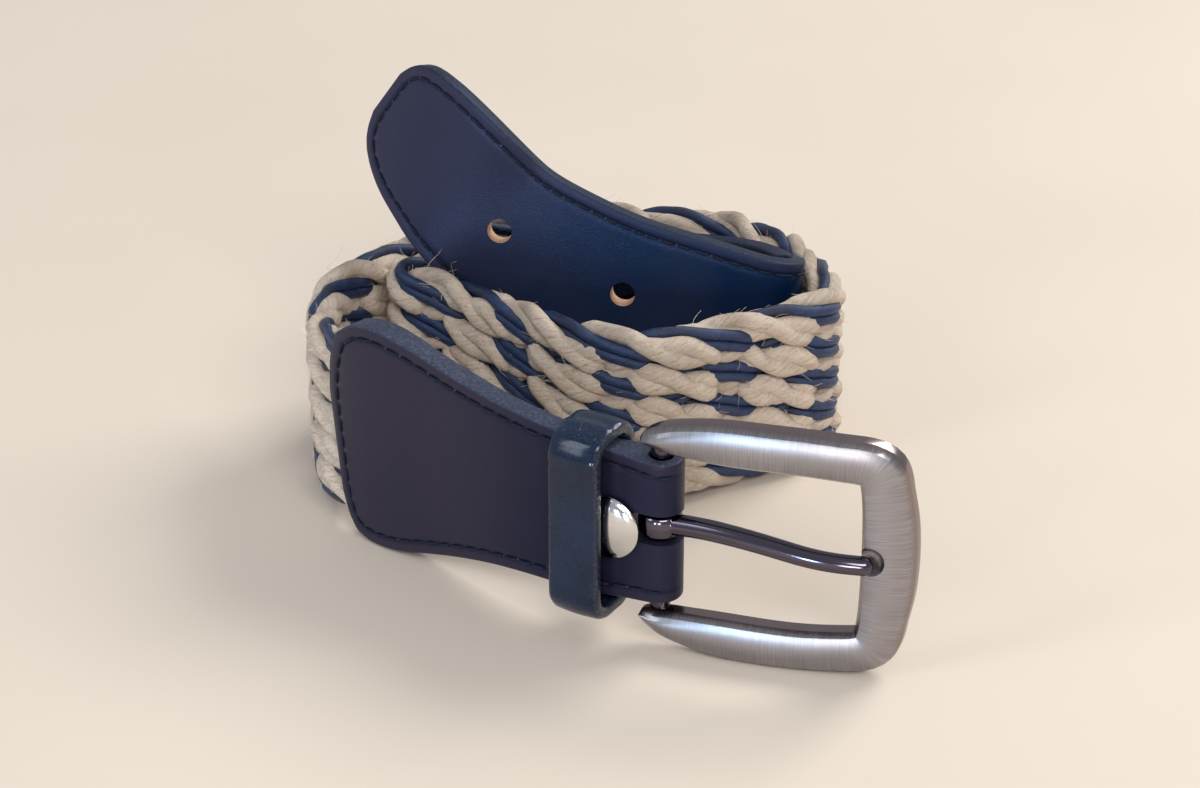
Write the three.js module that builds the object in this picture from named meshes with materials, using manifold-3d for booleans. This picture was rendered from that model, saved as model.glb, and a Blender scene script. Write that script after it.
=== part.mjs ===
// Leather and straw belt, wound into a loose coil and standing on its lower edge.
// Units mm, +Z up. The belt's course starts at the buckle's heel bar and runs to the tip.
import * as THREE from 'three';
import { mergeVertices } from 'three/addons/utils/BufferGeometryUtils.js';
import Module from 'manifold-3d';

const wasm = await Module();
wasm.setup();

// ---------------------------------------------------------------- named sizes
const STRAP_HALF = 14.6;       // half the width of the tip strap
const BRAID_H = 35;            // width of the braid
const BRAID_T = 6.4;           // thickness of the braid
const BRAID_ROUND = 1.9;       // rounding of the braid's edges
const TIP_T = 3.6;             // two leathers of the tip strap
const LEATHER_EDGE = 0.6;      // bevel of a painted leather edge
const TAB_LENGTH = 69;         // heel bar to the end of the paddle
const BRAID_IN = 15;           // how far each end of the braid goes into the leather
const TONGUE_T = 1.5;          // braid pressed flat inside the leather
const GAP = 0.3;               // gap between touching pieces
const POCKET_GAP = 0.4;        // gap round the braid's ends
const TIP_LENGTH = 165;        // leather of the tip strap
const HOLE_D = 4.6;            // punched hole
const HOLE_FIRST = 33.6;        // tip to the first hole
const HOLE_PITCH = 25.4;
const HOLES = 5;
const BAR_R = 1.75;            // heel bar of the buckle
const FOLD_IN_R = 2.15;        // leather fold, inside
const FOLD_OUT_R = 3.9;        // leather fold, outside
const SLOT_H = 5.4;            // prong slot in the fold
const SLOT_BACK = 4.4;         // slot, from the bar's axis towards the tab
const KEEPER_S = 11.7;         // heel bar to the middle of the keeper
const KEEPER_W = 9.4;          // width of the keeper's band
const KEEPER_T = 2.2;          // thickness of the keeper's band
const KEEPER_FRONT = 2.35;     // room between strap and band in front, over the cap
const KEEPER_BACK = 0.75;      // room behind the strap
const KEEPER_OVER = 0.6;       // room above and below the strap
const KEEPER_ROUND = 5;        // rounding of the loop's corners, outside
const KEEPER_IN_ROUND = 2;     // and inside
const CAP_S = 7.7;             // heel bar to the middle of the snap cap
const CAP_R = 5.8;             // snap cap
const CAP_RISE = 1.75;
const CAP_POST_R = 1.5;
const CAP_POST_L = 1.5;
const PRONG_R = 1.85;          // prong wire
const PRONG_RING_R = 3.75;     // prong's eye, outside
const PRONG_BORE_R = 2.1;
const PRONG_RING_H = 4.2;
const PRONG_V = 0.8;           // the eye and its slot lie above the middle of the bar
const FRAME_BEVEL = 1.1;
const FRAME_ARCH = 0.0042;     // arch of the frame, mm per mm squared
const FRAME_CREST = 6;         // where the arch is highest, from the heel bar
const FRAME_FRONT = 1.6;         // middle of the frame in front of the bar's axis there

// ---------------------------------------------------------------- the belt's course
// Middle line of the strap from above (x, y), height of its middle (z) and how far
// its upper edge leans to the inside of the coil (lean, degrees).
const COURSE = [
  { run: 'heel bar',        x: 9.6,   y: -27,   z: 21.9, lean: 0 },
  { run: 'tab',             x: 3.8,   y: -24.6, z: 21.9, lean: 0 },
  { run: 'tab',             x: -7.7,  y: -17.5, z: 21.9, lean: 0 },
  { run: 'tab',             x: -18,   y: -9.3,  z: 21.8, lean: 0 },
  { run: 'paddle',          x: -28.7, y: -0.8,  z: 21.7, lean: 0 },
  { run: 'paddle',          x: -38,   y: 6.8,   z: 21.5, lean: 0 },
  { run: 'left turn',       x: -44.2, y: 13.5,  z: 20.6,   lean: 0 },
  { run: 'left turn',       x: -47.9, y: 21.1,  z: 18.8, lean: 0 },
  { run: 'left turn',       x: -49.8, y: 29,    z: 17.5, lean: 0 },
  { run: 'left turn',       x: -50.1, y: 37,    z: 17.5, lean: 0 },
  { run: 'left turn',       x: -48.5, y: 45,    z: 17.5, lean: 0 },
  { run: 'left turn',       x: -45,   y: 51.9,  z: 17.5, lean: 0 },
  { run: 'back run',        x: -39.8, y: 58.4,  z: 17.5, lean: 0 },
  { run: 'back run',        x: -31.5, y: 65,    z: 17.5, lean: 0 },
  { run: 'back run',        x: -20,   y: 70.8,  z: 17.5, lean: 0 },
  { run: 'back run',        x: -7,    y: 75,    z: 17.5, lean: 0 },
  { run: 'back run',        x: 6,     y: 76.4,  z: 17.5, lean: 0 },
  { run: 'back run',        x: 17,    y: 75.2,  z: 17.5, lean: 0 },
  { run: 'right turn',      x: 26,    y: 71.9,  z: 17.5, lean: 0 },
  { run: 'right turn',      x: 32.4,  y: 66.4,  z: 17.5, lean: 0 },
  { run: 'right turn',      x: 37,    y: 59.6,  z: 17.5, lean: 0 },
  { run: 'right turn',      x: 40.2,  y: 51.8,  z: 17.5, lean: 0 },
  { run: 'right turn',      x: 41.8,  y: 44.2,  z: 17.5, lean: 0 },
  { run: 'right turn',      x: 41.2,  y: 38.6,  z: 17.5, lean: 0 },
  { run: 'right turn',      x: 37.8,  y: 35.2,  z: 17.5, lean: 0 },
  { run: 'near run',        x: 33,    y: 32.7,  z: 17.5, lean: 0 },
  { run: 'near run',        x: 26.5,  y: 29.3,  z: 17.5, lean: 0 },
  { run: 'near run',        x: 19.5,  y: 25.3,  z: 17.5, lean: 0 },
  { run: 'near run',        x: 11.5,  y: 22.2,  z: 17.5, lean: 0 },
  { run: 'near run',        x: 3.5,   y: 22.0,  z: 17.5, lean: 0 },
  { run: 'near run',        x: -4,    y: 25.0,  z: 17.5, lean: 0 },
  { run: 'near run',        x: -13,   y: 32.2,  z: 17.5, lean: 0 },
  { run: 'near run',        x: -22,   y: 39.9,  z: 17.5, lean: 0 },
  { run: 'inner left turn', x: -28.5, y: 44.7,  z: 17.5, lean: 0 },
  { run: 'inner left turn', x: -33.4, y: 46.9,  z: 17.5, lean: 0 },
  { run: 'inner left turn', x: -36.5, y: 49.2,  z: 17.5, lean: 0 },
  { run: 'inner left turn', x: -35.7, y: 52.8,  z: 17.5, lean: 0 },
  { run: 'inner left turn', x: -32.3, y: 55.6,  z: 17.5, lean: 0 },
  { run: 'inner back run',  x: -26.8, y: 59.3,  z: 17.5, lean: 0 },
  { run: 'inner back run',  x: -17.1, y: 64.2,  z: 17.5, lean: 0 },
  { run: 'inner back run',  x: -5.3,  y: 68,    z: 17.5, lean: 0 },
  { run: 'inner back run',  x: 6,     y: 69.4,  z: 17.5, lean: 0 },
  { run: 'inner back run',  x: 15.4,  y: 68.4,  z: 17.5, lean: 0 },
  { run: 'tip strap',       x: 22.4,  y: 65.8,  z: 17.8, lean: 0 },
  { run: 'tip strap',       x: 28,    y: 61.5,  z: 18.8, lean: 0 },
  { run: 'tip strap',       x: 32,    y: 55.8,  z: 20,   lean: 0 },
  { run: 'tip strap',       x: 34.3,  y: 49.8,  z: 21.2, lean: 0 },
  { run: 'inner right turn', x: 34.8, y: 45.4,  z: 22.2, lean: 0 },
  { run: 'inner right turn', x: 32.8, y: 42.4,  z: 23.4, lean: 2 },
  { run: 'tip strap',       x: 26,    y: 41.9,  z: 25.2, lean: 3 },
  { run: 'tip strap',       x: 15,    y: 43.2,  z: 28.2, lean: 5 },
  { run: 'tip strap',       x: 4,     y: 45,    z: 31.2, lean: 6 },
  { run: 'tip strap',       x: -8,    y: 47.3,  z: 36,   lean: 8 },
  { run: 'tip strap',       x: -18.9, y: 50,    z: 42.2, lean: 9 },
  { run: 'raised tip',      x: -27.3, y: 53.1,  z: 50.8, lean: 10 },
  { run: 'raised tip',      x: -33.4, y: 58,    z: 56.9, lean: 12 },
  { run: 'raised tip',      x: -38.4, y: 64.7,  z: 62.7, lean: 14 },
];

// Tab, seen flat: half width along the strap, s from the heel bar; the paddle's lower
// corner is fuller than its upper one, so its middle drops at the end.
const TAB_HALF = [
  { s: 0, half: 13, drop: 0 }, { s: 6, half: 13.6, drop: 0 }, { s: 14, half: 14.4, drop: 0 },
  { s: 24, half: 15, drop: 0 }, { s: 32, half: 15.9, drop: 0 }, { s: 40, half: 17.4, drop: 0 },
  { s: 47, half: 19.2, drop: 0 }, { s: 53, half: 20.8, drop: 0 }, { s: 58, half: 21.3, drop: 0 },
  { s: 62, half: 21, drop: 0.2 }, { s: 65.5, half: 18.9, drop: 1 }, { s: 67.8, half: 14.4, drop: 2.4 },
  { s: 69, half: 9, drop: 3.2 },
];
// Tab, half thickness, and how far its middle lies behind the course: round the bar the
// back leather stands off, over the braid's end both are padded.
const TAB_THICK = [
  { s: 0, half: 3.9, back: 1 }, { s: 2, half: 3.4, back: 0.95 }, { s: 8, half: 2.5, back: 0.25 }, { s: 13, half: 2.2, back: 0 },
  { s: 46, half: 2.3, back: 0 }, { s: 54, half: 2.6, back: 0 }, { s: 69, half: 2.7, back: 0 },
];
// Braid, half thickness from its first end, and the same again from its last end.
const BRAID_THICK = [
  { s: 0, half: TONGUE_T / 2 }, { s: 15.4, half: TONGUE_T / 2 }, { s: 18.5, half: 2.2 },
  { s: 24, half: BRAID_T / 2 },
];
const BRAID_HALF = [
  { s: 0, half: 11.5 }, { s: 9, half: 12.4 }, { s: 15.4, half: 12.8 }, { s: 18.5, half: 15.4 },
  { s: 23, half: 16.7 }, { s: 30, half: BRAID_H / 2 },
];
// Tip strap, seen flat: d from the tip.
const TIP_HALF = [
  { d: 0, half: 4.8 }, { d: 0.35, half: 6.6 }, { d: 1, half: 8.4 }, { d: 2.2, half: 10.4 },
  { d: 4, half: 12.1 }, { d: 6.5, half: 13.4 }, { d: 10, half: 14.2 }, { d: 15, half: STRAP_HALF },
];
// Buckle frame: middle line of the upper half, u from the heel bar, v above the middle.
const FRAME_HALF = [
  { part: 'tip',     u: -2.8, v: 16.3, wide: 1.8, thick: 2.4 },
  { part: 'arm',     u: -0.4, v: 16.9, wide: 4,   thick: 3.6 },
  { part: 'arm',     u: 4,    v: 17.5, wide: 6,   thick: 4 },
  { part: 'arm',     u: 10,   v: 17.9, wide: 7.3, thick: 4 },
  { part: 'arm',     u: 17,   v: 18.05, wide: 7.6, thick: 4 },
  { part: 'arm',     u: 25,   v: 18,   wide: 7.6, thick: 4 },
  { part: 'arm',     u: 31.5, v: 17.6, wide: 7.7, thick: 4 },
  { part: 'corner',  u: 36.2, v: 16.3, wide: 8.2, thick: 4 },
  { part: 'corner',  u: 37.5, v: 12.4, wide: 7.6, thick: 4 },
  { part: 'end bar', u: 38,   v: 8,    wide: 8.3, thick: 4 },
  { part: 'end bar', u: 38.3, v: 3,    wide: 8.6, thick: 4 },
];
// Prong wire: u from the bar, n out of the frame, v above the buckle's middle; it hangs a
// little askew on its bar.
const PRONG_LINE = [
  { u: 0.4, n: 0.9, v: 0.9 }, { u: 5, n: 1.1, v: 1.3 }, { u: 12, n: 1.7, v: 1.5 }, { u: 20, n: 2.3, v: 1.1 },
  { u: 27, n: 2.5, v: 0.5 }, { u: 32, n: 2, v: 0.3 }, { u: 35, n: 1.3, v: 0.2 },
];
const DIMPLE = { u: 35.7, n: 1, v: 0.3, r: 2.75 };   // rest for the prong's tip in the end bar

// ---------------------------------------------------------------- helpers
const V = (x, y, z) => new THREE.Vector3(x, y, z);

// Natural cubic spline through rows of a table, over the given parameter.
function spline(t, v) {
  const n = t.length, h = [], a = new Array(n).fill(0), c = new Array(n).fill(0), d = new Array(n).fill(0), m = new Array(n).fill(0);
  for (let i = 0; i < n - 1; i++) h.push(t[i + 1] - t[i]);
  for (let i = 1; i < n - 1; i++) {
    const b = 2 * (h[i - 1] + h[i]), r = 6 * ((v[i + 1] - v[i]) / h[i] - (v[i] - v[i - 1]) / h[i - 1]);
    const k = b - (i > 1 ? h[i - 1] * c[i - 1] : 0);
    c[i] = h[i] / k;
    d[i] = (r - (i > 1 ? h[i - 1] * d[i - 1] : 0)) / k;
  }
  for (let i = n - 2; i > 0; i--) m[i] = d[i] - c[i] * m[i + 1];
  return (x) => {
    let i = 0;
    while (i < n - 2 && x > t[i + 1]) i++;
    const A = (t[i + 1] - x) / h[i], B = (x - t[i]) / h[i];
    return A * v[i] + B * v[i + 1] + ((A ** 3 - A) * m[i] + (B ** 3 - B) * m[i + 1]) * h[i] * h[i] / 6;
  };
}
// Straight interpolation in a table of { key, half } rows, held at both ends.
function table(rows, key, name, x) {
  if (x <= rows[0][key]) return rows[0][name];
  for (let i = 1; i < rows.length; i++) {
    if (x <= rows[i][key]) {
      const k = (x - rows[i - 1][key]) / (rows[i][key] - rows[i - 1][key]);
      return rows[i - 1][name] + k * (rows[i][name] - rows[i - 1][name]);
    }
  }
  return rows[rows.length - 1][name];
}

// The course as a curve: position and frame at any length s from the heel bar.
const knots = [0];
for (let i = 1; i < COURSE.length; i++) {
  const a = COURSE[i - 1], b = COURSE[i];
  knots.push(knots[i - 1] + Math.hypot(b.x - a.x, b.y - a.y, b.z - a.z));
}
const along = Object.fromEntries(['x', 'y', 'z', 'lean'].map((k) => [k, spline(knots, COURSE.map((r) => r[k]))]));
const courseFine = [];
{
  const N = 4000, last = knots[knots.length - 1];
  let s = 0, p = null;
  for (let i = 0; i <= N; i++) {
    const t = last * i / N, q = V(along.x(t), along.y(t), along.z(t));
    if (p) s += q.distanceTo(p);
    courseFine.push({ s, t });
    p = q;
  }
}
const COURSE_LENGTH = courseFine[courseFine.length - 1].s;
function toT(s) {
  let a = 0, b = courseFine.length - 1;
  while (b - a > 1) { const m = (a + b) >> 1; if (courseFine[m].s <= s) a = m; else b = m; }
  const k = (s - courseFine[a].s) / (courseFine[b].s - courseFine[a].s);
  return courseFine[a].t + k * (courseFine[b].t - courseFine[a].t);
}
// p on the middle line, t along the belt, n out of the coil, w towards the upper edge.
function frameAt(s) {
  const e = 0.05, tm = toT(s);
  const at = (t) => V(along.x(t), along.y(t), Math.max(BRAID_H / 2, along.z(t)));   // never below the table
  const p = at(tm), t = at(toT(Math.min(COURSE_LENGTH, s + e))).sub(at(toT(Math.max(0, s - e)))).normalize();
  const n0 = V(-t.y, t.x, 0).normalize(), w0 = t.clone().cross(n0).normalize();
  const lean = THREE.MathUtils.degToRad(Math.max(0, along.lean(tm)));
  const n = n0.clone().multiplyScalar(Math.cos(lean)).addScaledVector(w0, Math.sin(lean));
  const w = w0.clone().multiplyScalar(Math.cos(lean)).addScaledVector(n0, -Math.sin(lean));
  return { p, t, n, w };
}
// Stations along the course: closer together where it turns, and at the given lengths.
function stations(from, to, { longest = 7, bend = 11, extra = [] } = {}) {
  const out = [from];
  const marks = [...extra.filter((s) => s > from + 0.05 && s < to - 0.05), to].sort((a, b) => a - b);
  for (const mark of marks) {
    let s = out[out.length - 1];
    const seg = [];
    let t = frameAt(s).t, last = s;
    for (let q = s + 0.25; q < mark; q += 0.25) {
      const u = frameAt(q).t;
      if (q - last >= longest || THREE.MathUtils.radToDeg(u.angleTo(t)) >= bend) { seg.push(q); last = q; t = u; }
    }
    if (seg.length && mark - seg[seg.length - 1] < 0.6) seg.pop();
    out.push(...seg, mark);
  }
  return out;
}
// A closed solid from rings of equal count; ends are fans round their middle.
function loft(rings) {
  const k = rings[0].length, pos = [], idx = [];
  for (const ring of rings) for (const p of ring) pos.push(p.x, p.y, p.z);
  for (let i = 0; i < rings.length - 1; i++) {
    for (let j = 0; j < k; j++) {
      const a = i * k + j, b = i * k + (j + 1) % k, c = a + k, d = b + k;
      idx.push(a, b, d, a, d, c);
    }
  }
  for (const [i, flip] of [[0, true], [rings.length - 1, false]]) {
    for (let j = 1; j < k - 1; j++) {
      const a = i * k, b = i * k + j, c = i * k + j + 1;
      if (flip) idx.push(a, c, b); else idx.push(a, b, c);
    }
  }
  const g = new THREE.BufferGeometry();
  g.setAttribute('position', new THREE.Float32BufferAttribute(pos, 3));
  g.setIndex(idx);
  return g;
}
// Section of a wall: half thickness a (along n), half width b (along w), rounded corners.
function section(a, b, round, steps) {
  const r = Math.min(round, a * 0.92, b * 0.92), pts = [];
  for (const [sa, sb, from] of [[1, 1, 0], [-1, 1, 90], [-1, -1, 180], [1, -1, 270]]) {
    for (let i = 0; i <= steps; i++) {
      const q = THREE.MathUtils.degToRad(from + 90 * i / steps);
      pts.push([sa * (a - r) + r * Math.cos(q), sb * (b - r) + r * Math.sin(q)]);
    }
  }
  return pts;
}
// A wall along the course. half(s) and thick(s) are its half sizes; shift(s) moves it along
// n and drop(s) down.
function wall(list, half, thick, round, steps, shift = () => 0, drop = () => 0) {
  return loft(list.map((s) => {
    const f = frameAt(s);
    return section(thick(s), half(s), round, steps).map(([a, b]) => f.p.clone().addScaledVector(f.n, a + shift(s)).addScaledVector(f.w, b - drop(s)));
  }));
}
function toManifold(geometry) {
  let g = geometry.clone();
  g.deleteAttribute('normal'); g.deleteAttribute('uv');
  g = mergeVertices(g, 1e-4);
  const m = new wasm.Manifold(new wasm.Mesh({ numProp: 3, vertProperties: new Float32Array(g.attributes.position.array), triVerts: new Uint32Array(g.index.array) }));
  if (m.volume() < 0) throw new Error('inside out');
  return m;
}
function fromManifold(m) {
  const mesh = m.getMesh(), g = new THREE.BufferGeometry();
  g.setAttribute('position', new THREE.BufferAttribute(new Float32Array(mesh.vertProperties), 3));
  g.setIndex(new THREE.BufferAttribute(new Uint32Array(mesh.triVerts), 1));
  return g;
}
// Places a geometry made round its own Z axis so that Z runs along dir from the point.
function placed(g, at, dir) {
  g.applyQuaternion(new THREE.Quaternion().setFromUnitVectors(V(0, 0, 1), dir.clone().normalize()));
  g.translate(at.x, at.y, at.z);
  return g;
}
const rod = (r, from, to, sides = 24) => {
  const d = to.clone().sub(from);
  const g = new THREE.CylinderGeometry(r, r, d.length(), sides, 1);
  g.rotateX(Math.PI / 2);
  return placed(g, from.clone().add(to).multiplyScalar(0.5), d);
};

// ---------------------------------------------------------------- pieces on the course
const TAB_END = TAB_LENGTH, BRAID_FROM = TAB_LENGTH - BRAID_IN;
const TIP_END = COURSE_LENGTH, TIP_FROM = COURSE_LENGTH - TIP_LENGTH, BRAID_TO = TIP_FROM + BRAID_IN;

const braidHalf = (s) => Math.min(table(BRAID_HALF, 's', 'half', s - BRAID_FROM), table(BRAID_HALF, 's', 'half', BRAID_TO - s));
const braidThick = (s) => Math.min(table(BRAID_THICK, 's', 'half', s - BRAID_FROM), table(BRAID_THICK, 's', 'half', BRAID_TO - s));
const braidMarks = [...BRAID_THICK, ...BRAID_HALF].flatMap((r) => [BRAID_FROM + r.s, BRAID_TO - r.s]);
// Where the braid lies in the leather all walls share their stations, so that the gap stays even.
const lapAt = (from, to) => stations(from, to, { longest: 4, bend: 6, extra: braidMarks });
const tabLap = lapAt(BRAID_FROM - GAP, TAB_END + 3), tipLap = lapAt(TIP_FROM - 3, BRAID_TO + GAP);
const braidGeo = wall(stations(BRAID_FROM, BRAID_TO, { longest: 8, bend: 12, extra: [...braidMarks.filter((s) => s > tabLap.at(-1) && s < tipLap[0]), ...tabLap, ...tipLap] }),
  braidHalf, braidThick, BRAID_ROUND, 2);

// Pocket in the leather for the pressed end of the braid.
const pocket = (lap) => toManifold(wall(lap,
  (s) => braidHalf(Math.min(Math.max(s, BRAID_FROM), BRAID_TO)) + POCKET_GAP, () => TONGUE_T / 2 + POCKET_GAP, 0.3, 1));

// Tab: strap, fold round the bar, prong slot, hole for the snap's post.
const bar = frameAt(0);
const up = V(0, 0, 1);
const uDir = bar.t.clone().setZ(0).normalize().negate(), nDir = V(-bar.t.y, bar.t.x, 0).normalize();
const barAxis = bar.p.clone().addScaledVector(nDir, -TAB_THICK[0].back);
const atBuckle = (u, n, v) => barAxis.clone().addScaledVector(uDir, u).addScaledVector(nDir, n).addScaledVector(up, v);

const tabMarks = [...TAB_HALF, ...TAB_THICK].map((r) => r.s);
let tab = toManifold(wall(stations(0, TAB_END, { longest: 6, bend: 10, extra: [...tabMarks, ...tabLap] }),
  (s) => table(TAB_HALF, 's', 'half', s), (s) => table(TAB_THICK, 's', 'half', s), LEATHER_EDGE, 1, (s) => -table(TAB_THICK, 's', 'back', s), (s) => table(TAB_HALF, 's', 'drop', s)));
const foldHalf = TAB_HALF[0].half - 0.25;
tab = tab.add(toManifold(rod(FOLD_OUT_R, atBuckle(0, 0, -foldHalf), atBuckle(0, 0, foldHalf), 28)));
tab = tab.subtract(toManifold(rod(FOLD_IN_R, atBuckle(0, 0, -30), atBuckle(0, 0, 30), 20)));
const slot = new THREE.BoxGeometry(SLOT_BACK + 8, 12, SLOT_H);
slot.applyMatrix4(new THREE.Matrix4().makeBasis(uDir, up.clone().cross(uDir), up).setPosition(atBuckle((8 - SLOT_BACK) / 2, 0, PRONG_V)));
tab = tab.subtract(toManifold(slot));
tab = tab.subtract(pocket(tabLap));
const capAt = frameAt(CAP_S), tabFace = table(TAB_THICK, 's', 'half', CAP_S - CAP_R) - table(TAB_THICK, 's', 'back', CAP_S - CAP_R);
tab = tab.subtract(toManifold(rod(CAP_POST_R + GAP, capAt.p.clone().addScaledVector(capAt.n, tabFace - CAP_POST_L - GAP), capAt.p.clone().addScaledVector(capAt.n, tabFace + 3), 16)));

// Keeper: a loop of leather, square to the strap.
const kf = frameAt(KEEPER_S);
const strapT = table(TAB_THICK, 's', 'half', KEEPER_S - KEEPER_W / 2) + 0.15, strapH = table(TAB_HALF, 's', 'half', KEEPER_S + KEEPER_W / 2);
function roundedRect(x0, x1, y0, y1, r, Kind) {
  const s = new Kind();
  s.moveTo(x0 + r, y0); s.lineTo(x1 - r, y0); s.absarc(x1 - r, y0 + r, r, -Math.PI / 2, 0, false);
  s.lineTo(x1, y1 - r); s.absarc(x1 - r, y1 - r, r, 0, Math.PI / 2, false);
  s.lineTo(x0 + r, y1); s.absarc(x0 + r, y1 - r, r, Math.PI / 2, Math.PI, false);
  s.lineTo(x0, y0 + r); s.absarc(x0 + r, y0 + r, r, Math.PI, 1.5 * Math.PI, false);
  return s;
}
const kIn = { x0: -strapT - KEEPER_BACK, x1: strapT + KEEPER_FRONT, y: strapH + KEEPER_OVER };
const loopShape = roundedRect(kIn.x0 - KEEPER_T, kIn.x1 + KEEPER_T, -kIn.y - KEEPER_T, kIn.y + KEEPER_T, KEEPER_ROUND, THREE.Shape);
loopShape.holes.push(roundedRect(kIn.x0, kIn.x1, -kIn.y, kIn.y, KEEPER_IN_ROUND, THREE.Path));
const keeperGeo = new THREE.ExtrudeGeometry(loopShape, { depth: KEEPER_W, steps: 1, curveSegments: 5, bevelEnabled: false });
keeperGeo.translate(0, 0, -KEEPER_W / 2);
keeperGeo.applyMatrix4(new THREE.Matrix4().makeBasis(kf.n, kf.w, kf.n.clone().cross(kf.w)).setPosition(kf.p));

// Snap cap: a low dome on a post.
const capProfile = [[0, -CAP_POST_L], [CAP_POST_R, -CAP_POST_L], [CAP_POST_R, GAP], [CAP_R - 0.5, GAP], [CAP_R, GAP + 0.35]];
for (let i = 1; i <= 5; i++) {
  const q = Math.PI / 2 * i / 5;
  capProfile.push([CAP_R * Math.cos(q), GAP + 0.35 + (CAP_RISE - 0.35) * Math.sin(q)]);
}
capProfile[capProfile.length - 1][0] = 0;
const capGeo = new THREE.LatheGeometry(capProfile.map(([r, h]) => new THREE.Vector2(r, h)), 28);
capGeo.rotateX(Math.PI / 2);
placed(capGeo, capAt.p.clone().addScaledVector(capAt.n, tabFace + 0.05), capAt.n);

// Tip strap with its punched holes.
const tipMarks = TIP_HALF.map((r) => TIP_END - r.d);
let tip = toManifold(wall(stations(TIP_FROM, TIP_END, { longest: 6, bend: 10, extra: [...tipMarks, ...tipLap] }),
  (s) => table(TIP_HALF, 'd', 'half', TIP_END - s), () => TIP_T / 2, LEATHER_EDGE, 1));
for (let i = 0; i < HOLES; i++) {
  const f = frameAt(TIP_END - HOLE_FIRST - i * HOLE_PITCH);
  tip = tip.subtract(toManifold(rod(HOLE_D / 2, f.p.clone().addScaledVector(f.n, -4), f.p.clone().addScaledVector(f.n, 4), 16)));
}
tip = tip.subtract(pocket(tipLap));

// ---------------------------------------------------------------- buckle
const arch = (u) => FRAME_FRONT - FRAME_ARCH * (u - FRAME_CREST) ** 2;
const upper = FRAME_HALF, lower = [...FRAME_HALF].reverse().map((r) => ({ ...r, v: -r.v }));
const outline = [...upper, ...lower];
const oKnots = [0];
for (let i = 1; i < outline.length; i++) oKnots.push(oKnots[i - 1] + Math.hypot(outline[i].u - outline[i - 1].u, outline[i].v - outline[i - 1].v));
const oAlong = Object.fromEntries(['u', 'v', 'wide', 'thick'].map((k) => [k, spline(oKnots, outline.map((r) => r[k]))]));
const FRAME_STATIONS = 46, oLast = oKnots[oKnots.length - 1];
const frameRings = [];
for (let i = 0; i <= FRAME_STATIONS; i++) {
  const q = oLast * i / FRAME_STATIONS, e = 0.02;
  const u = oAlong.u(q), v = oAlong.v(q), wide = oAlong.wide(q) / 2, thick = oAlong.thick(q) / 2;
  const du = oAlong.u(Math.min(oLast, q + e)) - oAlong.u(Math.max(0, q - e)), dv = oAlong.v(Math.min(oLast, q + e)) - oAlong.v(Math.max(0, q - e));
  const l = Math.hypot(du, dv), ou = -dv / l, ov = du / l;          // in-plane, to the outside
  const b = Math.min(FRAME_BEVEL, wide * 0.55, thick * 0.7);
  const ring = [[wide, -thick + b / 2], [wide, thick - b], [wide - b, thick], [0, thick + 0.25], [-wide + b, thick], [-wide, thick - b], [-wide, -thick + b / 2], [-wide + b / 2, -thick], [wide - b / 2, -thick]];
  frameRings.push(ring.map(([a, n]) => atBuckle(u + ou * a, arch(u + ou * a) + n, v + ov * a)));
}
let frame = toManifold(loft(frameRings));
frame = frame.add(toManifold(rod(BAR_R, atBuckle(0, 0, -17.6), atBuckle(0, 0, 17.6), 20)));
const dimple = new THREE.SphereGeometry(DIMPLE.r, 20, 12);
const dAt = atBuckle(DIMPLE.u, DIMPLE.n, DIMPLE.v);
dimple.translate(dAt.x, dAt.y, dAt.z);
frame = frame.subtract(toManifold(dimple));

// Prong: an eye round the bar and a bent wire with a rounded end.
const PRONG_SIDES = 12;
const pLine = new THREE.CatmullRomCurve3(PRONG_LINE.map((r) => atBuckle(r.u, r.n, r.v)));
const pRings = [], P_STEPS = 18;
for (let i = 0; i <= P_STEPS + 4; i++) {
  const body = i <= P_STEPS, k = body ? i / P_STEPS : 1, over = body ? 0 : (i - P_STEPS) / 4;
  const p = pLine.getPointAt(k), t = pLine.getTangentAt(k);
  const side = up, front = side.clone().cross(t).normalize();
  const r = PRONG_R * (1 - 0.12 * k) * (body ? 1 : Math.sqrt(1 - (0.94 * over) ** 2));
  p.addScaledVector(t, over * 0.94 * PRONG_R * 0.8);
  pRings.push([...Array(PRONG_SIDES).keys()].map((j) => {
    const q = 2 * Math.PI * j / PRONG_SIDES;
    return p.clone().addScaledVector(front, r * Math.cos(q)).addScaledVector(side, r * Math.sin(q));
  }));
}
let prong = toManifold(loft(pRings));
prong = prong.add(toManifold(rod(PRONG_RING_R, atBuckle(0, 0, PRONG_V - PRONG_RING_H / 2), atBuckle(0, 0, PRONG_V + PRONG_RING_H / 2), 24)));
prong = prong.subtract(toManifold(rod(PRONG_BORE_R, atBuckle(0, 0, -10), atBuckle(0, 0, 10), 20)));

// ---------------------------------------------------------------- assembly
const belt = new THREE.Group();
belt.name = 'leather_and_straw_belt';
const pieces = [
  ['braid', braidGeo, { color: '#a08a70', roughness: 0.95, metalness: 0 }],
  ['tab', fromManifold(tab), { color: '#1e2136', roughness: 0.45, metalness: 0 }],
  ['keeper', keeperGeo, { color: '#1a2338', roughness: 0.4, metalness: 0 }],
  ['snap_cap', capGeo, { color: '#c9c6c4', roughness: 0.2, metalness: 1 }],
  ['tip_strap', fromManifold(tip), { color: '#151f36', roughness: 0.45, metalness: 0 }],
  ['buckle_frame', fromManifold(frame), { color: '#8d888c', roughness: 0.35, metalness: 1 }],
  ['prong', fromManifold(prong), { color: '#4a4548', roughness: 0.2, metalness: 1 }],
];
const meshes = pieces.map(([name, g, m]) => {
  let c = g.clone();
  c.deleteAttribute('normal'); if (c.attributes.uv) c.deleteAttribute('uv');
  c = mergeVertices(c, 1e-4);
  const mesh = new THREE.Mesh(c, new THREE.MeshStandardMaterial(m));
  mesh.name = name;
  return mesh;
});
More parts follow.
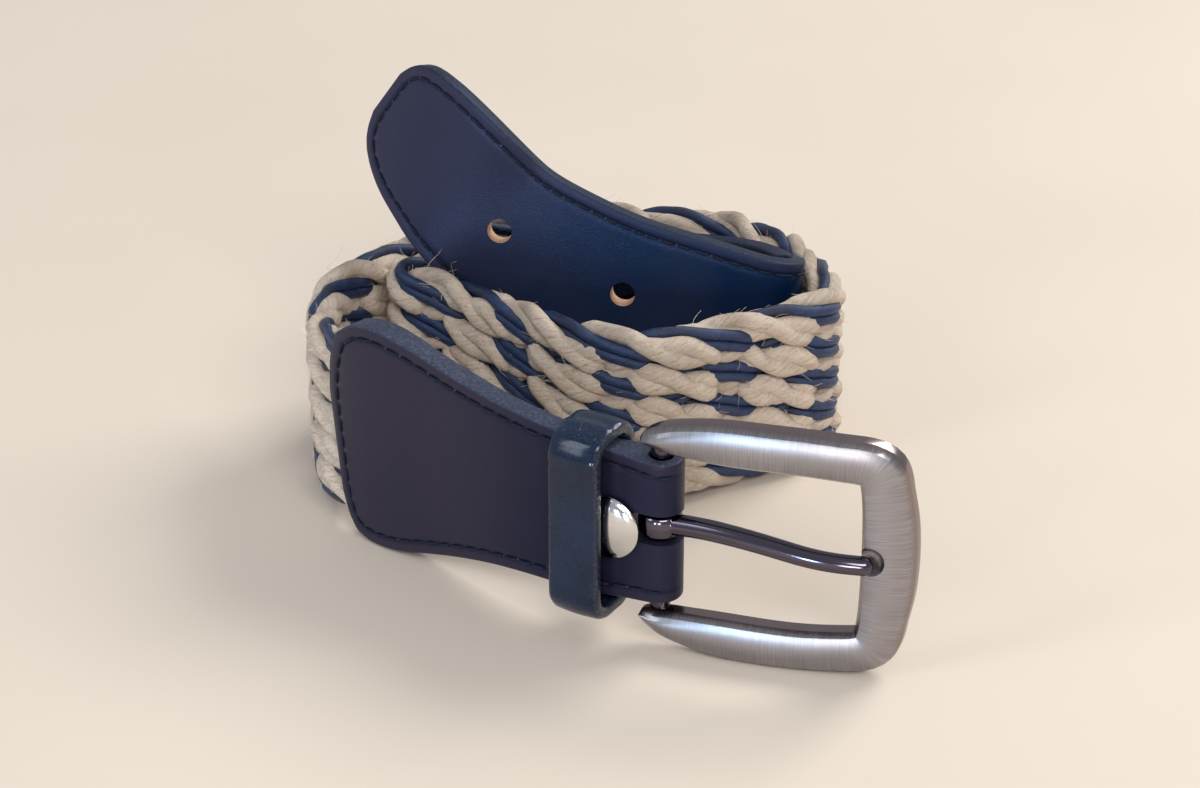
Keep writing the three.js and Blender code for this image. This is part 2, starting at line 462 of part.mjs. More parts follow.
// The box's bottom middle is the origin.
const box = new THREE.Box3();
for (const m of meshes) { m.geometry.computeBoundingBox(); box.union(m.geometry.boundingBox); }
const mid = box.getCenter(V(0, 0, 0));
for (const m of meshes) {
  m.geometry.translate(-mid.x, -mid.y, -box.min.z);
  m.geometry.computeVertexNormals();
  belt.add(m);
}
export default belt;
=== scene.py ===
import math
import bpy
import numpy as np
from mathutils import Vector, Matrix, kdtree


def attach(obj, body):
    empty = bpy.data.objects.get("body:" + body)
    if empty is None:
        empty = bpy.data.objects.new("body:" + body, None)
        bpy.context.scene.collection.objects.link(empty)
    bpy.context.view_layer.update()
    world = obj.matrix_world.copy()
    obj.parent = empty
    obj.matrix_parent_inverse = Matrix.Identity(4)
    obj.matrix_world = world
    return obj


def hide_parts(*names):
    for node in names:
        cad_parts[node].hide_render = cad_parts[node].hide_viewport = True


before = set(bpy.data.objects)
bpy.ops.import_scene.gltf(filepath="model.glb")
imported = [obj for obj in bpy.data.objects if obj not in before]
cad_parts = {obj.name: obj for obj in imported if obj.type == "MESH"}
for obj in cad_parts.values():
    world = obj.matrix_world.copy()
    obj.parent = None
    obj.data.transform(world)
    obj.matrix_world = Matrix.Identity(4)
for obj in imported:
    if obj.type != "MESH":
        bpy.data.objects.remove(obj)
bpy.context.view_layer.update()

MM = 0.001
SEED = 11
rng = np.random.default_rng(SEED)

# ------------------------------------------------------------------ named sizes
CENTRE = np.array((0.825838, -19.016649, 0.0))   # moves the course to the CAD frame
STRAP_HALF, BRAID_H, BRAID_T = 14.6, 35.0, 6.4
TAB_LENGTH, TIP_LENGTH, BRAID_IN = 69.0, 165.0, 15.0
TIP_T, HOLE_D, HOLE_FIRST, HOLE_PITCH, HOLES = 3.6, 4.6, 33.6, 25.4, 5
BAR_R, FOLD_IN_R, FOLD_OUT_R, SLOT_H, SLOT_BACK = 1.75, 2.15, 3.9, 5.4, 4.4
KEEPER_S, KEEPER_W, KEEPER_T = 11.7, 9.4, 2.2
KEEPER_FRONT, KEEPER_BACK, KEEPER_OVER, KEEPER_ROUND = 2.35, 0.75, 0.6, 5.0
CAP_S, CAP_R, CAP_RISE, GAP = 7.7, 5.8, 1.75, 0.3
PRONG_R, PRONG_RING_R, PRONG_BORE_R, PRONG_RING_H, PRONG_V = 1.85, 3.75, 2.1, 4.2, 0.8
FRAME_BEVEL, FRAME_ARCH, FRAME_CREST, FRAME_FRONT, FRAME_CROWN = 1.1, 0.0042, 6, 1.6, 0.5
STRANDS = 20            # ten jute, ten navy
LAY = 205.0             # length in which a strand goes down the braid and up again
JUTE_AT = 218.0         # length at which a jute float is in the middle of its pass
LIFT = 1.45             # how far a strand lies before or behind the middle
UNDER_JUTE, UNDER_NAVY = 0.76, 0.62   # of that, where it goes under
EDGE_ROUND = 0.75       # rounding of a painted edge
STITCH_IN, STITCH_PITCH, STITCH_LONG, THREAD_R = 2.3, 3.1, 2.55, 0.25

# x, y, z of the strap's middle line and lean of its upper edge
COURSE = [
    ("heel bar", 9.6, -27, 21.9, 0), ("tab", 3.8, -24.6, 21.9, 0), ("tab", -7.7, -17.5, 21.9, 0),
    ("tab", -18, -9.3, 21.8, 0), ("paddle", -28.7, -0.8, 21.7, 0), ("paddle", -38, 6.8, 21.5, 0),
    ("left turn", -44.2, 13.5, 20.6, 0), ("left turn", -47.9, 21.1, 18.8, 0), ("left turn", -49.8, 29, 17.5, 0),
    ("left turn", -50.1, 37, 17.5, 0), ("left turn", -48.5, 45, 17.5, 0), ("left turn", -45, 51.9, 17.5, 0),
    ("back run", -39.8, 58.4, 17.5, 0), ("back run", -31.5, 65, 17.5, 0), ("back run", -20, 70.8, 17.5, 0),
    ("back run", -7, 75, 17.5, 0), ("back run", 6, 76.4, 17.5, 0), ("back run", 17, 75.2, 17.5, 0),
    ("right turn", 26, 71.9, 17.5, 0), ("right turn", 32.4, 66.4, 17.5, 0), ("right turn", 37, 59.6, 17.5, 0),
    ("right turn", 40.2, 51.8, 17.5, 0), ("right turn", 41.8, 44.2, 17.5, 0), ("right turn", 41.2, 38.6, 17.5, 0),
    ("right turn", 37.8, 35.2, 17.5, 0), ("near run", 33, 32.7, 17.5, 0), ("near run", 26.5, 29.3, 17.5, 0),
    ("near run", 19.5, 25.3, 17.5, 0), ("near run", 11.5, 22.2, 17.5, 0), ("near run", 3.5, 22.0, 17.5, 0),
    ("near run", -4, 25.0, 17.5, 0), ("near run", -13, 32.2, 17.5, 0), ("near run", -22, 39.9, 17.5, 0),
    ("inner left turn", -28.5, 44.7, 17.5, 0), ("inner left turn", -33.4, 46.9, 17.5, 0),
    ("inner left turn", -36.5, 49.2, 17.5, 0), ("inner left turn", -35.7, 52.8, 17.5, 0),
    ("inner left turn", -32.3, 55.6, 17.5, 0), ("inner back run", -26.8, 59.3, 17.5, 0),
    ("inner back run", -17.1, 64.2, 17.5, 0), ("inner back run", -5.3, 68, 17.5, 0), ("inner back run", 6, 69.4, 17.5, 0),
    ("inner back run", 15.4, 68.4, 17.5, 0), ("tip strap", 22.4, 65.8, 17.8, 0), ("tip strap", 28, 61.5, 18.8, 0),
    ("tip strap", 32, 55.8, 20, 0), ("tip strap", 34.3, 49.8, 21.2, 0), ("inner right turn", 34.8, 45.4, 22.2, 0),
    ("inner right turn", 32.8, 42.4, 23.4, 2), ("tip strap", 26, 41.9, 25.2, 3), ("tip strap", 15, 43.2, 28.2, 5),
    ("tip strap", 4, 45, 31.2, 6), ("tip strap", -8, 47.3, 36, 8), ("tip strap", -18.9, 50, 42.2, 9),
    ("raised tip", -27.3, 53.1, 50.8, 10), ("raised tip", -33.4, 58, 56.9, 12), ("raised tip", -38.4, 64.7, 62.7, 14),
]
# s from the heel bar, half width, drop of the middle
TAB_HALF = [(0, 13, 0), (6, 13.6, 0), (14, 14.4, 0), (24, 15, 0), (32, 15.9, 0), (40, 17.4, 0), (47, 19.2, 0),
            (53, 20.8, 0), (58, 21.3, 0), (62, 21, 0.2), (65.5, 18.9, 1), (67.8, 14.4, 2.4), (69, 9, 3.2)]
# s, half thickness, how far its middle lies behind the course
TAB_THICK = [(0, 3.9, 1), (2, 3.4, 0.95), (8, 2.5, 0.25), (13, 2.2, 0), (46, 2.3, 0), (54, 2.6, 0), (69, 2.7, 0)]
# s from the braid's last end, half width
BRAID_HALF = [(0, 11.5), (9, 12.4), (15.4, 12.8), (18.5, 15.4), (23, 16.7), (30, 17.5)]
# d from the tip, half width
TIP_HALF = [(0, 4.8), (0.35, 6.6), (1, 8.4), (2.2, 10.4), (4, 12.1), (6.5, 13.4), (10, 14.2), (15, STRAP_HALF)]
# part, u, v, wide, thick
FRAME_HALF = [("tip", -2.8, 16.3, 1.8, 2.4), ("arm", -0.4, 16.9, 4, 3.6), ("arm", 4, 17.5, 6, 4), ("arm", 10, 17.9, 7.3, 4),
              ("arm", 17, 18.05, 7.6, 4), ("arm", 25, 18, 7.6, 4), ("arm", 31.5, 17.6, 7.7, 4), ("corner", 36.2, 16.3, 7.8, 4),
              ("corner", 37.45, 12.4, 7.75, 4), ("end bar", 38, 8, 8.25, 4), ("end bar", 38.3, 3, 8.6, 4)]
# u, n, v
PRONG_LINE = [(0.4, 0.9, 0.9), (5, 1.1, 1.3), (12, 1.7, 1.5), (20, 2.3, 1.1), (27, 2.5, 0.5), (32, 2, 0.3), (35, 1.3, 0.2)]
DIMPLE = (35.7, 1.0, 0.3, 2.75)


# ------------------------------------------------------------------ curves
def spline(t, v):
    """Natural cubic spline through rows, as in the CAD."""
    t, v = np.asarray(t, float), np.asarray(v, float)
    n = len(t)
    h = np.diff(t)
    A = np.zeros((n, n)); r = np.zeros(n)
    A[0, 0] = A[-1, -1] = 1
    for i in range(1, n - 1):
        A[i, i - 1], A[i, i], A[i, i + 1] = h[i - 1], 2 * (h[i - 1] + h[i]), h[i]
        r[i] = 6 * ((v[i + 1] - v[i]) / h[i] - (v[i] - v[i - 1]) / h[i - 1])
    m = np.linalg.solve(A, r)

    def f(x):
        x = np.asarray(x, float)
        i = np.clip(np.searchsorted(t, x, side="left") - 1, 0, n - 2)
        a = (t[i + 1] - x) / h[i]; b = (x - t[i]) / h[i]
        return a * v[i] + b * v[i + 1] + ((a ** 3 - a) * m[i] + (b ** 3 - b) * m[i + 1]) * h[i] ** 2 / 6
    return f


def table(rows, col, x):
    return np.interp(x, [r[0] for r in rows], [r[col] for r in rows])


XYZ = np.array([r[1:4] for r in COURSE], float)
KNOTS = np.concatenate(([0], np.cumsum(np.linalg.norm(np.diff(XYZ, axis=0), axis=1))))
ALONG = [spline(KNOTS, [r[k] for r in COURSE]) for k in (1, 2, 3, 4)]
T_FINE = np.linspace(0, KNOTS[-1], 4001)
_q = np.stack([f(T_FINE) for f in ALONG[:3]], 1)
S_FINE = np.concatenate(([0], np.cumsum(np.linalg.norm(np.diff(_q, axis=0), axis=1))))
LENGTH = S_FINE[-1]


def at(t):
    return np.stack([ALONG[0](t), ALONG[1](t), np.maximum(BRAID_H / 2, ALONG[2](t))], -1)


def unit(v):
    return v / np.maximum(np.linalg.norm(v, axis=-1, keepdims=True), 1e-9)


def course(s):
    """Point, direction along, out of the coil and to the upper edge, for an array of lengths."""
    s = np.asarray(s, float)
    to_t = lambda x: np.interp(x, S_FINE, T_FINE)
    e = 0.05
    p = at(to_t(s))
    t = unit(at(to_t(np.minimum(LENGTH, s + e))) - at(to_t(np.maximum(0, s - e))))
    n0 = unit(np.stack([-t[..., 1], t[..., 0], np.zeros_like(s)], -1))
    w0 = unit(np.cross(t, n0))
    lean = np.radians(np.maximum(0, ALONG[3](to_t(s))))[..., None]
    return p + CENTRE, t, n0 * np.cos(lean) + w0 * np.sin(lean), w0 * np.cos(lean) - n0 * np.sin(lean)


def on_strap(s, a, b):
    p, t, n, w = course(s)
    return p + np.asarray(a)[..., None] * n + np.asarray(b)[..., None] * w


P0, T0, N0, W0 = (v[0] for v in course([0.0]))
U_DIR = -unit(np.array((T0[0], T0[1], 0)))
N_DIR = unit(np.array((-T0[1], T0[0], 0)))
UP = np.array((0, 0, 1.0))
BAR = P0 - N_DIR * TAB_THICK[0][2]


def at_buckle(u, n, v):
    u, n, v = np.broadcast_arrays(np.asarray(u, float), n, v)
    return BAR + u[..., None] * U_DIR + n[..., None] * N_DIR + v[..., None] * UP


def smooth(x):
    x = np.clip(x, 0, 1)
    return x * x * (3 - 2 * x)


# ------------------------------------------------------------------ mesh helpers
def make(name, verts, faces, mats, body=None, attrs=None, flat=False, index=None):
    me = bpy.data.meshes.new(name)
    me.from_pydata((np.asarray(verts) * MM).tolist(), [], [tuple(int(i) for i in f) for f in faces])
    me.validate()
    for m in mats:
        me.materials.append(m)
    me.polygons.foreach_set("use_smooth", [not flat] * len(me.polygons))
    if index is not None:
        me.polygons.foreach_set("material_index", list(index))
    for key, val in (attrs or {}).items():
        val = np.asarray(val, np.float32)
        kind = "FLOAT" if val.ndim == 1 else "FLOAT_VECTOR"
        a = me.attributes.new(key, kind, "POINT")
        a.data.foreach_set("value" if kind == "FLOAT" else "vector", val.ravel())
    me.update()
    o = bpy.data.objects.new(name, me)
    bpy.context.scene.collection.objects.link(o)
    if body:
        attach(o, body)
    return o


def grid_faces(rows, cols, start=0, closed=True):
    i = np.arange(rows - 1)[:, None] * cols
    j = np.arange(cols if closed else cols - 1)[None, :]
    k = (j + 1) % cols
    a, b, c, d = i + j, i + k, i + cols + k, i + cols + j
    return (np.stack([a, b, c, d], -1).reshape(-1, 4) + start)


class Pile:
    """Many tubes and beads joined into one mesh."""
    def __init__(self):
        self.v, self.f, self.at, self.n = [], [], {}, 0

    def add(self, v, f, **at):
        self.v.append(v); self.f.extend([[int(i) + self.n for i in g] for g in f])
        for k, a in at.items():
            self.at.setdefault(k, []).append(a)
        self.n += len(v)

    def tube(self, path, side, over, ra, rb, sides=8, **at):
        """path (N,3); side and over are its cross directions; ra, rb radii along them."""
        n = len(path)
        q = np.arange(sides) * 2 * math.pi / sides
        ring = path[:, None, :] + (np.cos(q)[None, :, None] * side[:, None, :] * np.broadcast_to(ra, n)[:, None, None]
                                   + np.sin(q)[None, :, None] * over[:, None, :] * np.broadcast_to(rb, n)[:, None, None])
        f = grid_faces(n, sides).tolist()
        f.append(list(range(sides))[::-1]); f.append([(n - 1) * sides + i for i in range(sides)])
        self.add(ring.reshape(-1, 3), f, **{k: a(q) if callable(a) else a for k, a in at.items()})

    def make(self, name, mats, body, **kw):
        v = np.concatenate(self.v)
        v[:, 2] = np.maximum(v[:, 2], 0.03)          # strands lie flat on the floor
        return make(name, v, self.f, mats, body,
                    {k: np.concatenate(a) for k, a in self.at.items()}, **kw)


def boolean(obj, cutter, kind):
    m = obj.modifiers.new("cut", "BOOLEAN")
    m.object, m.operation, m.solver = cutter, kind, "EXACT"
    dg = bpy.context.evaluated_depsgraph_get()
    me = bpy.data.meshes.new_from_object(obj.evaluated_get(dg))
    obj.modifiers.remove(m)
    old = obj.data
    obj.data = me
    me.name = obj.name
    bpy.data.meshes.remove(old)
    old = cutter.data
    bpy.data.objects.remove(cutter)
    bpy.data.meshes.remove(old)


def cylinder(r, a, b, sides=48, sx=1.0, side=None):
    """Cutter: a straight rod from a to b."""
    d = unit(b - a)
    x = unit(np.cross(d, UP)) if abs(d @ UP) < 0.9 else unit(np.cross(d, N_DIR))
    if side is not None:
        x = side
    y = np.cross(d, x)
    q = np.arange(sides) * 2 * math.pi / sides
    ring = np.cos(q)[:, None] * x * r * sx + np.sin(q)[:, None] * y * r
    v = np.concatenate([a + ring, b + ring])
    f = grid_faces(2, sides).tolist() + [list(range(sides))[::-1], list(range(sides, 2 * sides))]
    return make("cutter", v, f, [])


# ------------------------------------------------------------------ materials
def material(name):
    m = bpy.data.materials.new(name)
    m.use_nodes = True
    nt = m.node_tree
    nt.nodes.clear()
    out = nt.nodes.new("ShaderNodeOutputMaterial")
    bsdf = nt.nodes.new("ShaderNodeBsdfPrincipled")
    nt.links.new(bsdf.outputs["BSDF"], out.inputs["Surface"])
    return m, nt, bsdf


def node(nt, kind, links=None, **values):
    n = nt.nodes.new(kind)
    for k, v in values.items():
        if hasattr(n, k) and k not in n.inputs:
            setattr(n, k, v)
        else:
            n.inputs[k].default_value = v
    for k, v in (links or {}).items():
        nt.links.new(v, n.inputs[k])
    return n


def noise(nt, vec, scale, detail=4.0, rough=0.55, stretch=None, distortion=0.0):
    if stretch is not None:
        mp = nt.nodes.new("ShaderNodeMapping")
        mp.inputs["Scale"].default_value = stretch
        nt.links.new(vec, mp.inputs["Vector"])
        vec = mp.outputs["Vector"]
    n = nt.nodes.new("ShaderNodeTexNoise")
    n.inputs["Scale"].default_value = scale
    n.inputs["Detail"].default_value = detail
    n.inputs["Roughness"].default_value = rough
    n.inputs["Distortion"].default_value = distortion
    nt.links.new(vec, n.inputs["Vector"])
    return n.outputs["Fac"]


def ramp(nt, fac, *stops):
    r = nt.nodes.new("ShaderNodeValToRGB")
    e = r.color_ramp.elements
    while len(e) < len(stops):
        e.new(0.5)
    for el, (pos, col) in zip(e, stops):
        el.position = pos
        el.color = (*col, 1) if len(col) == 3 else col
    nt.links.new(fac, r.inputs["Fac"])
    return r.outputs["Color"]


def grey(v):
    return (v, v, v)


def maths(nt, op, a, b=None, c=None):
    n = nt.nodes.new("ShaderNodeMath")
    n.operation = op
    for i, x in enumerate((a, b, c)):
        if x is None:
            continue
        if isinstance(x, (int, float)):
            n.inputs[i].default_value = x
        else:
            nt.links.new(x, n.inputs[i])
    return n.outputs[0]


def mix(nt, fac, a, b):
    n = nt.nodes.new("ShaderNodeMix")
    n.data_type = "RGBA"
    for sock, x in ((n.inputs[0], fac), (n.inputs[6], a), (n.inputs[7], b)):
        if isinstance(x, tuple):
            sock.default_value = (*x, 1)
        elif isinstance(x, (int, float)):
            sock.default_value = x
        else:
            nt.links.new(x, sock)
    return n.outputs[2]


def attr(nt, name, out="Fac"):
    n = nt.nodes.new("ShaderNodeAttribute")
    n.attribute_name = name
    return n.outputs[out]


def bump(nt, bsdf, height, strength, distance, before=None):
    b = nt.nodes.new("ShaderNodeBump")
    b.inputs["Strength"].default_value = strength
    b.inputs["Distance"].default_value = distance
    nt.links.new(height, b.inputs["Height"])
    if before is not None:
        nt.links.new(before, b.inputs["Normal"])
    nt.links.new(b.outputs["Normal"], bsdf.inputs["Normal"])
    return b.outputs["Normal"]


def obj_coord(nt):
    n = nt.nodes.new("ShaderNodeTexCoord")
    return n.outputs["Object"]


def jute_material():
    m, nt, b = material("jute")
    sp = attr(nt, "yarn", "Vector")           # straightened, untwisted yarn space, mm
    fibre = noise(nt, sp, 1.0, 5, 0.66, (2.4, 2.4, 0.32), 0.5)
    fine = noise(nt, sp, 1.0, 3, 0.6, (9.0, 9.0, 1.1), 0.3)
    patch = noise(nt, obj_coord(nt), 140, 3, 0.6)
    deep = attr(nt, "deep")                   # 1 on the crown of a float, 0 in the crevices
    col = ramp(nt, fibre, (0.28, (0.46, 0.290, 0.175)), (0.43, (0.86, 0.650, 0.475)), (0.57, (1.0, 0.855, 0.700)))
    col = mix(nt, maths(nt, "MULTIPLY", ramp(nt, patch, (0.4, grey(0)), (0.7, grey(1))), 0.38), col, (0.80, 0.55, 0.34))
    col = mix(nt, maths(nt, "MULTIPLY", ramp(nt, fine, (0.55, grey(0)), (0.75, grey(1))), 0.5), col, (1.0, 0.90, 0.77))
    # painted shade: the jute turns dark brown where the floats dip into the crevices
    col = mix(nt, ramp(nt, deep, (0.05, grey(0.42)), (0.6, grey(0))), col, (0.25, 0.150, 0.080))
    nt.links.new(col, b.inputs["Base Color"])
    b.inputs["Roughness"].default_value = 0.93
    b.inputs["Specular IOR Level"].default_value = 0.2
    b.inputs["Sheen Weight"].default_value = 0.4
    b.inputs["Sheen Roughness"].default_value = 0.6
    b.inputs["Subsurface Weight"].default_value = 0.0
    h = maths(nt, "ADD", maths(nt, "MULTIPLY", fibre, 0.7), maths(nt, "MULTIPLY", fine, 0.45))
    bump(nt, b, h, 1.0, 0.0016)
    return m


def fuzz_material():
    m, nt, b = material("jute_fibre")
    n = noise(nt, obj_coord(nt), 400, 2)
    nt.links.new(ramp(nt, n, (0.3, (0.70, 0.53, 0.37)), (0.7, (0.95, 0.82, 0.66))), b.inputs["Base Color"])
    b.inputs["Roughness"].default_value = 0.7
    return m


def cord_material():
    m, nt, b = material("navy_cord")
    sp = attr(nt, "yarn", "Vector")
    fibre = noise(nt, sp, 1.0, 4, 0.6, (5.0, 5.0, 0.7), 0.2)
    lump = noise(nt, sp, 1.0, 2, 0.5, (0.8, 0.8, 0.45))
    deep = attr(nt, "deep")
    col = ramp(nt, fibre, (0.3, (0.0025, 0.0065, 0.024)), (0.58, (0.008, 0.026, 0.088)), (0.82, (0.026, 0.066, 0.170)))
    col = mix(nt, maths(nt, "MULTIPLY", ramp(nt, lump, (0.45, grey(0)), (0.7, grey(1))), 0.45), col, (0.010, 0.044, 0.145))
    # painted shade: the cord darkens where it dips into the crevices
    col = mix(nt, ramp(nt, deep, (0.05, grey(0.6)), (0.6, grey(0))), col, (0.003, 0.006, 0.02))
    nt.links.new(col, b.inputs["Base Color"])
    nt.links.new(ramp(nt, fibre, (0.3, grey(0.28)), (0.8, grey(0.50))), b.inputs["Roughness"])
    h = maths(nt, "ADD", maths(nt, "MULTIPLY", fibre, 0.6), maths(nt, "MULTIPLY", lump, 0.5))
    bump(nt, b, h, 0.6, 0.0005)
    return m


def leather_material(name, face, warm, edge, gloss, shine, tint):
    """face: colour of the leather, warm: browner tint for random patches, the rim and a painted reflection of the warm
    floor, edge: painted edge.
    """
    m, nt, b = material(name)
    oc = obj_coord(nt)
    inset = attr(nt, "inset")                  # mm from the outline
    big = noise(nt, oc, 28, 3, 0.55)
    grain = nt.nodes.new("ShaderNodeTexVoronoi")
    grain.feature = "DISTANCE_TO_EDGE"
    grain.inputs["Scale"].default_value = 1500
    nt.links.new(oc, grain.inputs["Vector"])
    pore = noise(nt, oc, 2300, 3, 0.6)
    scratch = noise(nt, oc, 60, 2, 0.5, (1.0, 1.0, 16.0), 1.2)
    floor_reflection = attr(nt, "warm")
    col = mix(nt, maths(nt, "MULTIPLY", ramp(nt, big, (0.35, grey(0)), (0.7, grey(1))), 0.35), face, warm)
    # painted reflection: a browner tint where the warm floor reflects in the leather
    col = mix(nt, maths(nt, "MULTIPLY", floor_reflection, 0.85), col, warm)
    fleck = ramp(nt, pore, (0.66, grey(0)), (0.76, grey(1)))
    col = mix(nt, maths(nt, "MULTIPLY", fleck, 0.12), col, (0.10, 0.12, 0.17))
    # rim between the stitch line and the edge, then the painted edge with its specks
    rim = ramp(nt, maths(nt, "MULTIPLY", inset, 0.25), (0.35, grey(1)), (0.55, grey(0)))
    col = mix(nt, maths(nt, "MULTIPLY", rim, 0.40), col, warm)
    paint = ramp(nt, maths(nt, "MULTIPLY", inset, 0.25), (0.03, grey(1)), (0.10, grey(0)))
    specks = ramp(nt, noise(nt, oc, 1700, 4, 0.7), (0.47, grey(0)), (0.66, grey(1)))
    painted = mix(nt, maths(nt, "MULTIPLY", specks, 0.6), edge, tuple(min(1, 2.4 * c + 0.012) for c in edge))
    col = mix(nt, paint, col, painted)
    # painted shade: the leather darkens along the stitch groove
    groove = maths(nt, "ABSOLUTE", maths(nt, "SUBTRACT", inset, STITCH_IN))
    dark = ramp(nt, groove, (0.15, grey(0.65)), (0.6, grey(0)))
    col = mix(nt, dark, col, (0.004, 0.005, 0.010))
    nt.links.new(col, b.inputs["Base Color"])
    rough = maths(nt, "ADD", maths(nt, "MULTIPLY", big, 0.16), gloss - 0.08)
    rough = maths(nt, "ADD", rough, maths(nt, "MULTIPLY", paint, 0.12))
    nt.links.new(rough, b.inputs["Roughness"])
    b.inputs["Specular IOR Level"].default_value = shine
    b.inputs["Specular Tint"].default_value = tint
    g = ramp(nt, grain.outputs["Distance"], (0.0, grey(0)), (0.10, grey(1)))
    h = maths(nt, "ADD", maths(nt, "MULTIPLY", g, 0.25), maths(nt, "MULTIPLY", pore, 0.30))
    h = maths(nt, "ADD", h, maths(nt, "MULTIPLY", paint, maths(nt, "MULTIPLY", specks, 0.9)))
    h = maths(nt, "ADD", h, maths(nt, "MULTIPLY", ramp(nt, scratch, (0.68, grey(0)), (0.71, grey(1))), 0.18))
    bump(nt, b, h, 0.22, 0.00022)
    return m


def keeper_material():
    m, nt, b = material("keeper_leather")
    oc = obj_coord(nt)
    around = attr(nt, "band", "Vector")
    crease = nt.nodes.new("ShaderNodeTexVoronoi")
    crease.feature = "DISTANCE_TO_EDGE"
    crease.inputs["Scale"].default_value = 1.0
    crease.inputs["Randomness"].default_value = 0.95
    mp = nt.nodes.new("ShaderNodeMapping")
    mp.inputs["Scale"].default_value = (1.15, 1.9, 1.0)
    wob = nt.nodes.new("ShaderNodeTexNoise")
    wob.inputs["Scale"].default_value = 0.9
    wob.inputs["Detail"].default_value = 3
    nt.links.new(around, wob.inputs["Vector"])
    add = nt.nodes.new("ShaderNodeVectorMath")
    add.operation = "MULTIPLY_ADD"
    add.inputs[1].default_value = (1.1, 1.1, 1.1)
    nt.links.new(wob.outputs["Color"], add.inputs[0])
    nt.links.new(around, add.inputs[2])
    nt.links.new(add.outputs[0], mp.inputs["Vector"])
    nt.links.new(mp.outputs[0], crease.inputs["Vector"])
    pore = noise(nt, oc, 2100, 3, 0.6)
    big = noise(nt, oc, 90, 3, 0.6)
    wrinkled = attr(nt, "wrinkle")
    col = mix(nt, ramp(nt, big, (0.35, grey(0)), (0.7, grey(1))), (0.0012, 0.0060, 0.0200), (0.0030, 0.0140, 0.0430))
    inset = attr(nt, "inset")
    paint = ramp(nt, maths(nt, "MULTIPLY", inset, 0.25), (0.06, grey(1)), (0.16, grey(0)))
    specks = ramp(nt, noise(nt, oc, 1700, 4, 0.7), (0.5, grey(0)), (0.68, grey(1)))
    col = mix(nt, maths(nt, "MULTIPLY", paint, 0.8), col, mix(nt, specks, (0.014, 0.018, 0.030), (0.045, 0.053, 0.075)))
    nt.links.new(col, b.inputs["Base Color"])
    nt.links.new(maths(nt, "ADD", maths(nt, "MULTIPLY", big, 0.14), 0.21), b.inputs["Roughness"])
    b.inputs["Specular IOR Level"].default_value = 0.2
    b.inputs["Specular Tint"].default_value = (0.55, 0.72, 1.0, 1)
    b.inputs["Coat Weight"].default_value = 0.55
    b.inputs["Coat Roughness"].default_value = 0.12
    c = ramp(nt, crease.outputs["Distance"], (0.0, grey(0)), (0.12, grey(1)))
    h = maths(nt, "ADD", maths(nt, "MULTIPLY", maths(nt, "MULTIPLY", c, wrinkled), 0.8), maths(nt, "MULTIPLY", pore, 0.30))
    bump(nt, b, h, 0.60, 0.00042)
    return m


def raw_leather_material():
    m, nt, b = material("raw_leather")
    n = noise(nt, obj_coord(nt), 1300, 4, 0.7)
    nt.links.new(ramp(nt, n, (0.3, (0.36, 0.20, 0.12)), (0.7, (0.62, 0.42, 0.29))), b.inputs["Base Color"])
    b.inputs["Roughness"].default_value = 0.9
    bump(nt, b, n, 0.7, 0.0003)
    return m


def thread_material(name, dark, light):
    m, nt, b = material(name)
    oc = obj_coord(nt)
    n = noise(nt, oc, 1500, 3, 0.6)
    w = nt.nodes.new("ShaderNodeTexWave")
    w.inputs["Scale"].default_value = 700
    w.inputs["Distortion"].default_value = 1.5
    nt.links.new(oc, w.inputs["Vector"])
    nt.links.new(mix(nt, n, dark, light), b.inputs["Base Color"])
    b.inputs["Roughness"].default_value = 0.6
    b.inputs["Specular IOR Level"].default_value = 0.15
    bump(nt, b, w.outputs["Fac"], 0.5, 0.00012)
    return m


def metal_material(name, base, light, rough, brushed, dirt, side=None, across=False):
    m, nt, b = material(name)
    oc = obj_coord(nt)
    lay = attr(nt, "lay", "Vector")            # along, across, through, mm
    lines = noise(nt, lay, 1.0, 3, 0.6, (4.5, 0.10, 0.4) if across else (0.07, 7.0, 7.0))
    wide = noise(nt, lay, 1.0, 2, 0.5, (0.9, 0.05, 0.3) if across else (0.05, 1.5, 1.5))
    cloud = noise(nt, oc, 60, 3, 0.6)
    face = attr(nt, "face")                    # 1 on the brushed front, 0 on the polished bevels
    col = mix(nt, ramp(nt, lines, (0.35, grey(0)), (0.68, grey(1))), base, light)
    col = mix(nt, maths(nt, "MULTIPLY", ramp(nt, cloud, (0.45, grey(0)), (0.75, grey(1))), dirt), col, tuple(0.72 * c for c in base))
    if side is not None:
        # painted reflection: sides, bevels and back get a warm brown tint for the dark warm surroundings they mirror
        col = mix(nt, ramp(nt, face, (0.15, grey(0.85)), (0.75, grey(0))), col, side)
    nt.links.new(col, b.inputs["Base Color"])
    b.inputs["Metallic"].default_value = 1.0
    r = maths(nt, "ADD", maths(nt, "MULTIPLY", lines, 0.16 * brushed), maths(nt, "MULTIPLY", face, 0.15 * brushed))
    r = maths(nt, "ADD", r, maths(nt, "MULTIPLY", wide, 0.05))
    nt.links.new(maths(nt, "ADD", r, rough), b.inputs["Roughness"])
    h = maths(nt, "MULTIPLY", maths(nt, "ADD", lines, maths(nt, "MULTIPLY", wide, 0.5)), maths(nt, "ADD", maths(nt, "MULTIPLY", face, 0.8), 0.2))
    bump(nt, b, h, (0.14 if across else 0.34) * brushed + 0.002, 0.00012)
    return m


